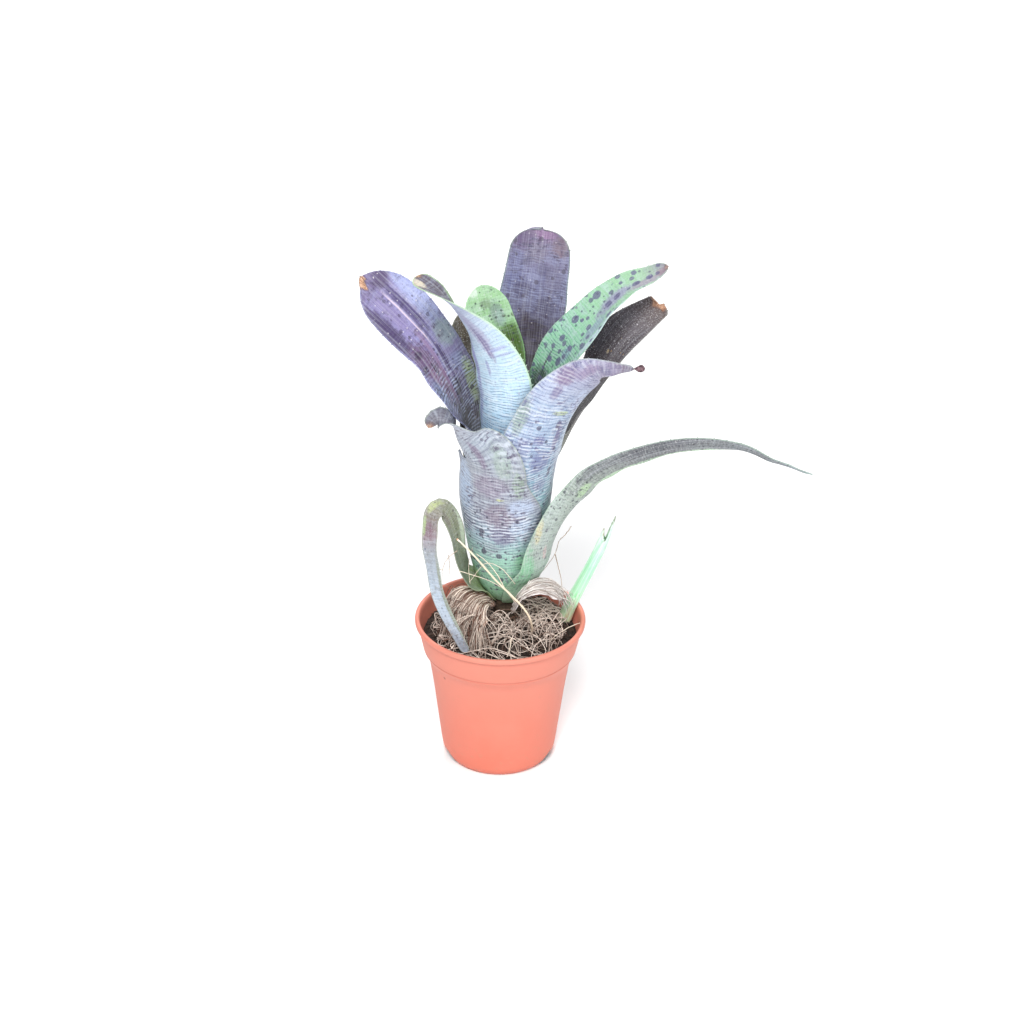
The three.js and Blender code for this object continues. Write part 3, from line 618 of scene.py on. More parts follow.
class LeafSkin(Graph):
    """Leaf skin at its real scale. Each method paints one layer over those before it."""

    def __init__(self, name, look):
        super().__init__(name)
        self.look = look
        self.seed = look["seed"]
        self.along, self.across = self.attribute("along"), self.attribute("across")
        self.share = self.attribute("share")
        self.flat = self.vector(self.across + self.seed, self.along + self.seed)
        self.drift = self.noise(self.flat, 55, detail=2)
        self.bent = self.along + self.drift * 0.006
        self.ragged = self.noise(self.flat, 340, detail=4, roughness=0.65)
        self.patch = self.noise(self.flat, 62, detail=3)
        unbent = (self.across, self.along)
        self.grain = self.stretched(unbent, (1100, 800), self.seed, detail=2)
        self.veins = self.stretched(unbent, (1500, 22), self.seed, detail=2)
        self.colour = self.mix(self.attribute("inside"), self.ramp(self.share, look["outer"]),
                               self.ramp(self.share, look["inner"]))

    def banded(self, scales, shift, **settings):
        """Noise with its own scales across and along, bent with the leaf's bands."""
        return self.stretched((self.across, self.bent), scales, self.seed + shift, **settings)

    def part_way(self, low, high, fade_in, fade_out):
        """1 over part of the leaf's length, with (from, to) fades about its two ends."""
        return (self.share.between(low + fade_in[0], low + fade_in[1])
                * self.share.between(high + fade_out[0], high + fade_out[1]))

    def strokes(self):
        """Pale ragged strokes across the leaf: (colour, amounts along it)."""
        tint, stops = self.look["strokes"]
        stroke = self.banded((34, 360), 12, detail=5, roughness=0.66).between(0.47, 0.6)
        stroke = stroke * self.ragged.between(0.36, 0.54, start=0.35)
        self.paint(stroke * self.levels(self.share, stops), tint)

    def patches(self):
        """Ovals with a ragged edge:
        [share, across, half its share, half its width, colour, amount], widths in millimetres."""
        for place, side, half_share, half_width, tint, amount in self.look.get("patches", []):
            run = (self.share - place) / half_share
            reach = (self.across - side * MM) / (half_width * MM)
            distance = run * run + reach * reach + self.ragged * 1.8
            self.paint(distance.between(2.1, 1.1, amount), tint)

    def mottling(self):
        """Fine blots, in clusters: (amount, colour)."""
        amount, tint = self.look["mottle"]
        blot = self.banded((190, 300), 9, detail=5, roughness=0.72).between(0.5, 0.61)
        blot = blot * self.patch.between(0.38, 0.58, start=0.15)
        self.paint(blot * amount, tint)

    def bars(self):
        """Pale bars across the leaf with dark lines between them:
        (pitch, colour, amounts along it, dark colour, amounts). Returns the pale bars."""
        pitch, tint, stops, dark_tint, dark_stops = self.look["bars"]
        wobble = self.banded((75, 170), 3, detail=2)
        wave = self.maths("SINE", self.bent * (2 * math.pi / (pitch * MM)) + wobble * 4.5)
        gaps = self.banded((150, 420), 4, detail=3, roughness=0.6)
        bars = wave.between(0.0, 0.5) * gaps.between(0.42, 0.54)
        bars = bars * self.patch.between(0.36, 0.56, start=0.3)
        lines = wave.between(-0.5, -0.9) * gaps.between(0.58, 0.48)
        self.paint(lines * self.levels(self.share, dark_stops), dark_tint)
        self.paint(bars * self.levels(self.share, stops), tint)
        return bars

    def spots(self):
        """Round spots over part of the leaf:
        [radius, spacing, share of places with a spot, colour, amount, from share, to share]."""
        for radius, spacing, crowd, tint, amount, low, high in self.look.get("spots", []):
            distance, chance = self.cells(self.flat, 1 / (spacing * MM), 0.8, "2D")
            size = radius / spacing
            reach = chance.between(1 - crowd, 1.0, size, 0.45 * size)
            wobble = (self.ragged - 0.5) * (0.9 * size)
            spot = (distance + wobble).between(reach * 1.15, reach * 0.85)
            spot = spot * self.part_way(low, high, (-0.02, 0.01), (0.02, 0.0))
            self.paint(spot * chance.between(1 - crowd, 1.02 - crowd, amount), tint)

    def scales(self):
        """Rows of pale dots, scattered flecks, dark specks, pale veins and dark grain."""
        look = self.look
        if "dots" in look:
            rows = self.vector(self.across * 1.4, self.along)
            dots = self.dots(rows, 640, (0.3, 0.18), (0.4, 0.75), 0.75, "2D")
            self.paint(dots * look["dots"], "#e6e4e2")
        flecks = self.dots(self.flat, 210, (0.12, 0.07), (0.76, 0.86), 1.0, "2D")
        self.paint(flecks * look.get("flecks", 0.3), "#f6f0f4")
        specks = self.noise(self.flat, 720, detail=3, roughness=0.7)
        self.paint(specks.between(0.56, 0.68, look["specks"]), "#40384c")
        self.paint(self.veins.between(0.42, 0.68, look.get("veins", 0.14)), "#f2f5ff")
        self.paint(self.grain.between(0.5, 0.72, 0.16), "#37303f")

    def ribs(self):
        """Lines along the leaf: (colour, across, half width, from share, to share, amount)."""
        for tint, offset, width, low, high, amount in self.look.get("ribs", []):
            away = self.maths("ABSOLUTE", self.across - offset * MM + self.drift * 0.001)
            rib = away.between(width * MM, width * MM * 0.3, amount)
            self.paint(rib * self.part_way(low, high, (-0.04, 0.02), (0.02, -0.04)), tint)

    def margin(self):
        """A pale rim: (colour, width, amount)."""
        tint, width, amount = self.look["margin"]
        edge = self.attribute("edge") + (self.grain - 0.5) * 0.0008
        self.paint(edge.between(width * MM, width * MM * 0.45, amount), tint)

    def dry_tip(self):
        """A burnt band and a withered end: (colour, reach, centre across, width)."""
        if "dry" not in self.look:
            return
        tint, reach, centre, width = self.look["dry"]
        sideways = self.maths("ABSOLUTE", self.across - centre * MM)
        frayed = self.attribute("tip") + self.patch * 0.006 + sideways * (reach / width)
        burnt = frayed.between((reach + 6) * MM, (reach + 3) * MM)
        self.paint(burnt * 0.5, "#7a5648")
        dry = self.mix(self.grain.between(0.4, 0.6), linear(tint), linear("#a9785c"))
        withered = frayed.between((reach + 4) * MM, (reach + 1.5) * MM)
        self.colour = self.mix(withered, self.colour, dry)


def leaf_material(name, look):
    g = LeafSkin(name, look)
    g.strokes()
    g.patches()
    g.mottling()
    bars = g.bars()
    g.spots()
    g.scales()
    g.ribs()
    g.margin()
    g.dry_tip()
    g.colour = g.mix(1.0, g.colour, (LEAF_TONE, LEAF_TONE, LEAF_TONE, 1), "MULTIPLY")
    height = g.veins * 0.5 + (bars * 0.3 + g.ragged * 0.5)
    matt = bars * 0.5 + g.grain * 0.5
    roughness = matt.between(0.0, 1.0, look["roughness"] + 0.2, look["roughness"])
    return g.finish(roughness, g.bump(height, 0.2), Coat_Weight=look.get("coat", 0.05),
                    Coat_Roughness=0.35, Specular_IOR_Level=0.4)


# How much darker the skin is than the colours below, which are those seen under the lights.
LEAF_TONE = 0.77

# Looks of each leaf. Stops are (share of the length, colour) or (share, amount), and the methods of
# LeafSkin say what the rows hold.
LOOKS = {
    "leaf_front": dict(
        slot="mauve_leaf", seed=1.0, roughness=0.55, mottle=(0.95, "#5d566e"), specks=0.35,
        outer=[(0, "#93c98c"), (0.1, "#95d3a6"), (0.2, "#9bd6b4"), (0.28, "#a3d2c4"),
               (0.36, "#a0bdca"), (0.5, "#989fad"), (0.64, "#9ea3ad"), (0.76, "#a5b1bf"),
               (0.88, "#c3c8d8")],
        inner=[(0, "#7fb07a"), (0.5, "#6f6d78"), (0.8, "#7c7b88"), (0.95, "#6c6a76")],
        patches=[
            [0.46, 14, 0.07, 17, "#8b7c8d", 0.85], [0.37, 13, 0.05, 10, "#6d6587", 0.8],
            [0.6, 6, 0.06, 14, "#978aa0", 0.7], [0.73, 3, 0.07, 3.5, "#85758f", 0.8],
            [0.69, 17, 0.05, 7, "#a4bca6", 0.5], [0.61, 26, 0.07, 5, "#94ab94", 0.8],
            [0.5, 27, 0.05, 11, "#c3d5f2", 0.8], [0.41, 26, 0.04, 9, "#bed3ec", 0.8],
            [0.55, -18, 0.14, 11, "#b9d0ee", 0.8], [0.4, -17, 0.05, 8, "#5c6288", 0.7],
            [0.24, 26, 0.05, 8, "#8fcfa0", 0.8], [0.545, 13, 0.007, 3, "#dfe6a4", 0.9],
            [0.14, -16, 0.05, 8, "#a3cf66", 0.7], [0.31, 5, 0.03, 8, "#6f7a86", 0.5],
        ],
        strokes=("#d0dbec", [(0, 0.1), (0.3, 0.3), (0.45, 0.45), (0.75, 0.45), (1, 0.2)]),
        bars=(2.4, "#e6eefa", [(0, 0.05), (0.28, 0.25), (0.36, 0.9), (0.45, 0.8), (0.52, 0.35),
                         (0.75, 0.45), (1, 0.1)],
              "#5a5578", [(0, 0.1), (0.33, 0.7), (0.46, 0.8), (0.55, 0.45), (0.75, 0.35), (1, 0.1)]),
        spots=[[2.3, 11, 0.3, "#3c3a54", 0.85, 0.1, 0.42], [1.0, 5, 0.35, "#3f4154", 0.8, 0.05, 0.5],
               [1.2, 7, 0.2, "#4b4560", 0.6, 0.5, 0.8]],
        margin=("#a9b6a8", 0.9, 0.45), dry=("#cfb4a0", 3, 0, 6),
    ),
    "leaf_front_right": dict(
        slot="lavender_leaf", seed=2.3, roughness=0.55, mottle=(0.85, "#6a6790"), specks=0.3,
        outer=[(0, "#93cfa0"), (0.25, "#98d4bb"), (0.36, "#9bcbcb"), (0.48, "#9abfd4"),
               (0.6, "#a1bad6"), (0.72, "#aac0dc"), (0.84, "#b0b2d0"), (0.93, "#a79bb8"),
               (1, "#6d5b68")],
        inner=[(0, "#86b080"), (0.5, "#8a8ea2"), (1, "#6f6680")],
        patches=[
            [0.83, -13, 0.035, 8, "#8f7a9b", 0.85], [0.87, -4, 0.04, 6, "#a08cae", 0.7],
            [0.78, -12, 0.03, 4, "#8d7fa2", 0.7], [0.715, 0, 0.009, 8, "#c9dba6", 0.9],
            [0.675, 2, 0.018, 2.2, "#584a66", 0.9], [0.63, 5, 0.06, 3, "#83789c", 0.8],
            [0.62, -9, 0.018, 5, "#69679a", 0.8], [0.55, -3, 0.045, 9, "#7677a6", 0.7],
            [0.45, 0, 0.03, 7, "#7a7aa2", 0.6], [0.68, -27, 0.07, 5, "#92a898", 0.8],
            [0.58, -20, 0.05, 8, "#8c90b4", 0.6], [0.6, 20, 0.2, 9, "#d8e9fa", 0.85],
            [0.76, 12, 0.06, 7, "#cbd8f6", 0.8], [0.37, -5, 0.02, 3, "#5b5f7e", 0.8],
            [0.93, 0, 0.04, 7, "#9a93b4", 0.6],
        ],
        strokes=("#d3dcf2", [(0, 0.1), (0.35, 0.35), (0.5, 0.45), (0.8, 0.45), (1, 0.2)]),
        bars=(2.3, "#eff5ff", [(0, 0.05), (0.35, 0.5), (0.45, 0.75), (0.7, 0.6), (0.85, 0.3)],
              "#626394", [(0, 0.1), (0.4, 0.5), (0.6, 0.65), (0.8, 0.5), (1, 0.1)]),
        spots=[[2.0, 10, 0.3, "#4a4a68", 0.8, 0.2, 0.66], [1.0, 5, 0.3, "#4d4d6e", 0.7, 0.2, 0.7]],
        margin=("#b5c2bc", 0.9, 0.45),
    ),
    "leaf_front_left": dict(
        slot="silver_leaf", seed=4.1, roughness=0.55, mottle=(0.2, "#9aa2cc"), specks=0.18,
        outer=[(0, "#9ad0a0"), (0.35, "#a0c6d2"), (0.52, "#a6cdea"), (0.62, "#bfe1f8"),
               (0.72, "#c4e2f4"), (0.8, "#c3daf0"), (0.88, "#c0c8e6"), (1, "#8f86a0")],
        inner=[(0, "#86b080"), (0.6, "#758672"), (0.82, "#6a6472"), (0.95, "#5d5263")],
        patches=[
            [0.8, 3, 0.08, 7, "#aeabcc", 0.8],
            [0.77, 2.5, 0.06, 3.2, "#8a80aa", 0.9], [0.7, -4, 0.03, 1.6, "#8d8ec4", 0.7],
            [0.72, -17, 0.1, 3, "#8f90c6", 0.9], [0.6, -17, 0.1, 3.4, "#9aa4d0", 0.7],
            [0.745, 9, 0.005, 8, "#a9b0de", 0.8], [0.73, 11, 0.004, 8, "#aab2de", 0.7],
            [0.55, 17, 0.06, 4, "#9db8a6", 0.85], [0.9, -13, 0.04, 3, "#93b57e", 0.8],
            [0.985, 5, 0.03, 5, "#eadfc6", 0.95],
        ],
        strokes=("#e2f1fd", [(0, 0.1), (0.4, 0.4), (0.6, 0.6), (0.85, 0.5), (1, 0.1)]),
        bars=(1.9, "#e8f5ff", [(0, 0.1), (0.45, 0.5), (0.6, 0.5), (0.75, 0.2), (1, 0.0)],
              "#52638e", [(0, 0.2), (0.48, 0.85), (0.62, 0.75), (0.7, 0.35), (0.85, 0.2)]),
        spots=[[0.9, 5, 0.25, "#7f88b4", 0.5, 0.4, 0.8]],
        margin=("#cdeebc", 1.6, 0.6), dry=("#e2c8a8", 3, -4, 5), veins=0.2,
    ),
    "leaf_left": dict(
        slot="purple_leaf", seed=5.7, roughness=0.42, coat=0.12, crease=0.9, ragged=5.0,
        mottle=(0.55, "#4a3c62"), flecks=0.8, specks=0.4,
        outer=[(0, "#93c08c"), (0.4, "#8a93ae"), (0.8, "#8f80a6"), (1, "#7f6c90")],
        # Painted shade: the inner face's dark grey stop at 0.44 of the length is shade deep in the
        # cup.
        inner=[(0, "#7f9a70"), (0.44, "#4a4c58"), (0.54, "#5b567c"), (0.64, "#8478a6"),
               (0.8, "#a096cc"), (0.92, "#9c92c6"), (1, "#7c6c90")],
        patches=[
            [0.85, -18, 0.12, 8, "#b6bfee", 0.95], [0.87, -7, 0.11, 3, "#574a80", 0.9],
            [0.96, -8, 0.03, 9, "#5c4b74", 0.9], [0.87, 5, 0.07, 5, "#9a8cc2", 0.85],
            [0.84, 18, 0.13, 8, "#4c3a66", 0.9], [0.72, 13, 0.07, 11, "#74547c", 0.9],
            [0.655, 9, 0.06, 9, "#8f6c8e", 0.85], [0.745, 15, 0.014, 5, "#40294c", 0.9],
            [0.7, 18, 0.012, 4, "#3e2848", 0.9], [0.68, 8, 0.022, 2.2, "#452d50", 0.85],
            [0.69, -5, 0.05, 3, "#4f3e6c", 0.85], [0.74, -16, 0.04, 9, "#a2b2bc", 0.85],
            [0.66, -14, 0.03, 8, "#8c93c0", 0.7], [0.585, -20, 0.08, 5.5, "#bccfa8", 0.95],
            # Painted shade: the wide near-black patch at 0.5 is shade deep in the cup.
            [0.6, -6, 0.03, 4, "#2c2742", 0.8], [0.5, -3, 0.045, 12, "#2d2938", 0.85],
            [0.62, 18, 0.05, 7, "#7d8ab0", 0.8],
        ],
        strokes=("#b3bcf0", [(0, 0.0), (0.55, 0.25), (0.8, 0.3), (1, 0.15)]),
        bars=(2.4, "#c2cff4", [(0.4, 0.3), (0.52, 0.9), (0.62, 1.0), (0.67, 0.5), (0.72, 0.1),
                               (1, 0.0)],
              "#241f3a", [(0.4, 0.5), (0.52, 0.75), (0.62, 0.8), (0.68, 0.2), (1, 0.0)]),
        spots=[[2.2, 7, 0.5, "#2c2838", 0.9, 0.47, 0.58], [1.2, 5, 0.3, "#3d2c4c", 0.7, 0.6, 0.8],
               [1.6, 8, 0.25, "#43345a", 0.6, 0.78, 0.98]],
        ribs=[("#efdcee", -1.5, 0.75, 0.76, 0.93, 0.9), ("#4b3c70", -3.6, 1.2, 0.7, 0.93, 0.6),
              ("#a77ca4", 2.0, 3.0, 0.58, 0.8, 0.5)],
        margin=("#a6b4dc", 0.7, 0.3), dry=("#eec4a6", 9, 4, 5), veins=0.24,
    ),
    "leaf_back": dict(
        slot="violet_leaf", seed=7.9, roughness=0.45, mottle=(0.85, "#4c4460"), specks=0.45,
        ragged=1.6,
        outer=[(0, "#93c08c"), (0.4, "#8a93ae"), (1, "#83749a")],
        # Painted shade: the inner face's dull dark stops from 0.46 to 0.7 of the length are shade in
        # the cup.
        inner=[(0, "#6f9a5c"), (0.46, "#5f6a4c"), (0.62, "#4b4642"), (0.7, "#564f5a"),
               (0.78, "#6d6c88"), (0.86, "#7c7ca0"), (0.93, "#817a98"), (1, "#806d8a")],
        patches=[
            [0.985, -3, 0.022, 9, "#98789f", 0.9], [0.96, 13, 0.035, 8, "#69587c", 0.85],
            [0.955, -14, 0.035, 7, "#83707e", 0.85], [0.93, 2, 0.03, 7, "#857e92", 0.7],
            [0.9, 15, 0.04, 7, "#72759e", 0.7], [0.85, 15, 0.03, 7, "#6a6d98", 0.6],
            # Painted shade over the leaf's own dark maroon: the near-black patches at 0.64, 0.69,
            # 0.725 and 0.755 are the shade at the cup's centre.
            [0.86, -12, 0.05, 8, "#7e7a94", 0.7], [0.725, 0, 0.035, 13, "#2f2430", 0.92],
            [0.755, 5, 0.02, 5, "#3a2d3a", 0.85], [0.69, -6, 0.013, 5, "#2c222c", 0.9],
            [0.7, -18, 0.05, 6, "#8f9a96", 0.7], [0.64, -2, 0.03, 5, "#232019", 0.7],
            [0.83, 9, 0.025, 7, "#575270", 0.7], [0.885, -4, 0.025, 6, "#5f5a7a", 0.6],
            [0.79, -9, 0.03, 8, "#544e66", 0.7], [0.91, 8, 0.02, 5, "#605a78", 0.6],
            [0.825, -16, 0.02, 5, "#8f93b4", 0.6], [0.865, 3, 0.02, 6, "#9193b6", 0.6],
        ],
        strokes=("#a0a8cc", [(0.5, 0.0), (0.74, 0.1), (0.8, 0.4), (0.93, 0.35), (1, 0.1)]),
        bars=(1.8, "#a9b4dc", [(0.5, 0.0), (0.75, 0.05), (0.82, 0.3), (0.94, 0.15), (1, 0.0)],
              "#4c4a74", [(0.5, 0.0), (0.75, 0.4), (0.9, 0.5), (1, 0.1)]),
        spots=[[2.2, 8, 0.5, "#1f1a20", 0.85, 0.5, 0.7], [1.6, 9, 0.5, "#4a4258", 0.7, 0.7, 1.0]],
        margin=("#8fae90", 0.8, 0.35), veins=0.13,
    ),
    "leaf_right": dict(
        slot="green_leaf", seed=9.2, roughness=0.45, ragged=3.0, mottle=(0.22, "#7f86a4"),
        specks=0.2,
        outer=[(0, "#a4e0a4"), (0.6, "#aeddbc"), (0.85, "#b4b4ce"), (1, "#a08fa2")],
        # Painted shade: the inner face's dark greens below 0.58 of the length are shade deep in the
        # cup.
        inner=[(0, "#2f5a24"), (0.5, "#4d7a3c"), (0.58, "#8dcfa0"), (0.7, "#9adcb2"),
               (0.82, "#a6dcae"), (0.93, "#a4cfa8"), (1, "#9a8aa0")],
        patches=[
            [0.84, -2, 0.07, 7, "#a09cc0", 0.85], [0.76, -9, 0.05, 6, "#98a4c4", 0.7],
            [0.77, -19, 0.12, 4.5, "#d7eef7", 0.9], [0.93, -6, 0.05, 5, "#a598ac", 0.85],
            # Painted shadow: the thin black streak at 0.61 is a shadow line beside the margin, and
            # the near-black patch at 0.55 is shade deep in the cup.
            [0.61, 12.5, 0.04, 0.9, "#10160f", 0.95], [0.55, 10, 0.05, 12, "#24341c", 0.9],
            [0.66, -2, 0.03, 5, "#8fb4c6", 0.7], [0.98, -3, 0.02, 5, "#9a8290", 0.9],
        ],
        strokes=("#cfe3ea", [(0.5, 0.0), (0.6, 0.35), (0.8, 0.45), (1, 0.2)]),
        bars=(2.0, "#c4e0e2", [(0.5, 0.0), (0.62, 0.5), (0.8, 0.4), (0.9, 0.1)],
              "#46587c", [(0.54, 0.2), (0.62, 0.75), (0.68, 0.6), (0.72, 0.15), (1, 0.0)]),
        spots=[[3.1, 13, 0.75, "#67648c", 0.85, 0.56, 0.96],
               [1.9, 8, 0.5, "#605d84", 0.8, 0.56, 0.98], [1.0, 5, 0.35, "#565474", 0.7, 0.5, 0.96]],
        margin=("#b5deb8", 0.8, 0.3), dry=("#b9a0a0", 2, 0, 5),
    ),
    "leaf_inner_small": dict(
        slot="green_leaf", seed=11.4, roughness=0.42, mottle=(0.45, "#6b8a6c"), specks=0.4,
        flecks=0.4,
        outer=[(0, "#9ad88c"), (1, "#94d88e")],
        # Painted shade: the inner face's dark greens below about 0.85 of the length, with their sharp
        # edge, are a cast shadow over the leaf and the shade in the cup.
        inner=[(0, "#2c4a18"), (0.6, "#4a6a28"), (0.82, "#56782e"), (0.845, "#6f9c4c"),
               (0.865, "#98c890"), (1, "#a8d8a0")],
        patches=[
            [0.9, -6, 0.05, 5, "#7b9488", 0.85], [0.885, -8, 0.035, 4, "#a9c6bc", 0.6],
            [0.94, 0, 0.02, 4.5, "#7f9c76", 0.8], [0.985, 7, 0.02, 4, "#e6f8e6", 0.9],
            # Painted shadow: the dark olive patch at 0.82 belongs to that cast shadow.
            [0.82, -11, 0.04, 7, "#4f6f26", 0.9],
        ],
        strokes=("#d0ecdc", [(0.6, 0.0), (0.85, 0.1), (0.9, 0.4), (1, 0.3)]),
        bars=(2.2, "#c9e8d4", [(0.8, 0.0), (0.9, 0.2), (1, 0.1)],
              "#4e6a50", [(0.6, 0.0), (0.85, 0.2), (1, 0.1)]),
        spots=[[2.0, 9, 0.6, "#3c4026", 0.85, 0.6, 0.88], [0.9, 4, 0.45, "#44544a", 0.8, 0.8, 1.0]],
        margin=("#aedca6", 0.8, 0.4),
    ),
    "leaf_right_dark": dict(
        slot="dark_leaf", seed=13.0, roughness=0.55, ragged=5.0, mottle=(0.55, "#2c2224"),
        dots=0.6, flecks=0.9, specks=0.5,
        outer=[(0, "#8aa678"), (0.45, "#8a947e"), (0.6, "#5c4e4c"), (1, "#56443f")],
        inner=[(0, "#5a5a48"), (0.5, "#3d3436"), (0.75, "#54484e"), (0.9, "#6a6266"),
               (1, "#6e5c54")],
        patches=[[0.79, 4, 0.008, 1.4, "#e4c898", 0.95], [0.72, 12, 0.05, 7, "#4e3a3c", 0.8],
                 [0.84, -14, 0.08, 7, "#44393f", 0.8]],
        strokes=("#8f8890", [(0.5, 0.05), (0.8, 0.15), (1, 0.2)]),
        bars=(2.1, "#9a949c", [(0.5, 0.0), (0.8, 0.15), (1, 0.1)],
              "#261e22", [(0.5, 0.2), (0.8, 0.3), (1, 0.2)]),
        spots=[[0.8, 6, 0.25, "#c9a884", 0.8, 0.68, 0.84]],
        margin=("#8f908a", 0.8, 0.5), dry=("#e2b494", 7, 6, 13), veins=0.16,
    ),
    "leaf_back_left_dark": dict(
        slot="dark_leaf", seed=15.5, roughness=0.55, mottle=(0.5, "#39302a"), dots=0.7,
        specks=0.5,
        outer=[(0, "#8aa678"), (0.5, "#7a7a66"), (1, "#6e6054")],
        inner=[(0, "#5a5a48"), (0.5, "#5d5044"), (1, "#6e6152")],
        strokes=("#a09684", [(0.5, 0.1), (1, 0.3)]),
        bars=(2.1, "#a49a88", [(0.5, 0.1), (1, 0.2)], "#2e261f", [(0.5, 0.2), (1, 0.3)]),
        margin=("#96988a", 0.8, 0.5),
    ),
    "leaf_strap_right": dict(
        slot="strap_leaf", seed=17.7, roughness=0.52, mottle=(0.6, "#5f6468"), dots=0.35,
        specks=0.6,
        outer=[(0, "#8fc08a"), (0.12, "#9fc9ac"), (0.2, "#a9b8ae"), (0.3, "#b2c2b6"),
               (0.4, "#9ca99e"), (0.55, "#74777a"), (0.85, "#7c8286"), (1, "#96a6b4")],
        inner=[(0, "#8aa678"), (0.3, "#7a8674"), (0.6, "#6d7268"), (1, "#8b98a6")],
        patches=[
            [0.25, -17, 0.03, 3, "#e9d9a0", 0.6], [0.14, -22, 0.08, 7, "#86cf9c", 0.85],
            [0.3, -10, 0.06, 7, "#b9c8c0", 0.6], [0.45, -6, 0.07, 5, "#6f7478", 0.8],
            [0.6, -4, 0.14, 5, "#62646b", 0.85], [0.38, 1, 0.03, 4, "#b9dca8", 0.85],
            [0.5, 7.5, 0.12, 3.4, "#cdeec8", 0.95], [0.68, 6, 0.14, 2.6, "#c8eac6", 0.95],
            [0.2, -8, 0.02, 2, "#d8b9b4", 0.8], [0.85, 0, 0.1, 4, "#7e858c", 0.6],
        ],
        strokes=("#c6d2d0", [(0, 0.1), (0.25, 0.4), (0.4, 0.2), (1, 0.15)]),
        bars=(2.2, "#d2dedc", [(0, 0.1), (0.25, 0.4), (0.35, 0.2), (1, 0.0)],
              "#4e5458", [(0, 0.1), (0.25, 0.3), (0.5, 0.3), (1, 0.2)]),
        spots=[[1.2, 5, 0.45, "#4a5058", 0.8, 0.08, 0.4], [0.7, 3.2, 0.5, "#2e3036", 0.8, 0.3, 0.95]],
        margin=("#b9d8bc", 0.6, 0.35), veins=0.2,
    ),
    "leaf_strap_left": dict(
        slot="strap_leaf", seed=19.1, roughness=0.52, mottle=(0.5, "#7c7468"), dots=0.3,
        specks=0.4,
        outer=[(0, "#b6dc7c"), (0.12, "#b4d88c"), (0.22, "#a4a294"), (0.36, "#a8a89c"),
               (0.44, "#969c7c"), (0.5, "#94897f"), (0.56, "#94818a"), (0.62, "#a3aab4"),
               (0.75, "#b9cadc"), (1, "#c3d6ea")],
        inner=[(0, "#a6cf74"), (0.15, "#98a488"), (0.42, "#969c7c"), (0.5, "#94897f"),
               (0.56, "#a48f98"), (0.62, "#a9b0ba"), (0.75, "#b9cadc"), (1, "#c3d6ea")],
        patches=[
            [0.465, -4, 0.025, 3, "#b9c684", 0.8], [0.54, -1, 0.035, 4, "#8b6c7c", 0.8],
            [0.53, -6, 0.04, 2, "#b4cf8e", 0.8], [0.33, -7, 0.1, 2.4, "#dcebd0", 0.9],
            [0.4, 4, 0.05, 3, "#8d8578", 0.7], [0.8, 5, 0.2, 2, "#8f9874", 0.8],
        ],
        strokes=("#d6e2f0", [(0, 0.1), (0.5, 0.15), (0.65, 0.4), (1, 0.5)]),
        bars=(2.2, "#dce8f6", [(0, 0.0), (0.6, 0.1), (0.75, 0.3), (1, 0.3)],
              "#6a6660", [(0, 0.2), (0.5, 0.3), (0.7, 0.15), (1, 0.1)]),
        spots=[[0.8, 4, 0.4, "#5c564e", 0.7, 0.15, 0.6], [0.8, 4, 0.3, "#6d7a90", 0.6, 0.6, 1.0]],
        margin=("#a9b09c", 0.7, 0.5),
    ),
}

# ------------------------------------------------------------------ pot

# [radius, height] up the outside and down the inside. The last 12 rows lie inside.
POT_PROFILE = [
    [35, 0], [36.8, 0.5], [38, 2], [39.6, 4.4], [40.5, 7], [41.3, 12], [42.5, 22],
    [44.6, 38.7], [46.8, 57], [48.3, 67], [49.8, 77], [50.5, 79.8], [51.6, 82.5], [53.1, 85.2],
    [54.2, 87.2], [54.0, 87.6], [54.0, 87.9], [54.35, 88.2], [55.6, 94], [57.4, 103],
    [57.7, 105.2], [58.1, 106.1], [59.3, 106.4], [59.85, 106.8], [60, 107.4], [60, 108.6],
    [59.7, 109.5], [59.1, 110], [58.0, 110], [57.3, 109.8], [56.8, 109.2], [56.2, 107.6],
    [55.6, 102], [52.6, 88], [48.2, 77], [45.2, 57], [40.8, 22], [38.8, 7.4], [37, 3.4],
    [35, 2.2],
]
POT_INSIDE = sorted((height, radius) for radius, height in POT_PROFILE[-12:])
POT_SEGMENTS = 160
POT_FLOOR = 2.2
POT_FOOT_RADIUS = 35.0
DRAIN_HOLE_RADIUS = 4.0
DRAIN_HOLE_CIRCLE = 21.0            # radius of the circle that the holes lie on
DRAIN_HOLE_ANGLES = range(30, 390, 60)
DRAIN_NOTCH_RADIUS = 8.0
DRAIN_NOTCH_DEPTH = 12.0
DRAIN_NOTCH_ANGLES = [-66, 66, 180]


def rounded(points):
    """Corners cut once, so that a profile is softer and keeps its ends."""
    cut = [points[0]]
    for a, b in zip(points[:-1], points[1:]):
        cut.append(a * 0.75 + b * 0.25)
        cut.append(a * 0.25 + b * 0.75)
    cut.append(points[-1])
    return cut


def inner_radius(z):
    """The pot's inside at a height."""
    return straight(POT_INSIDE, z)


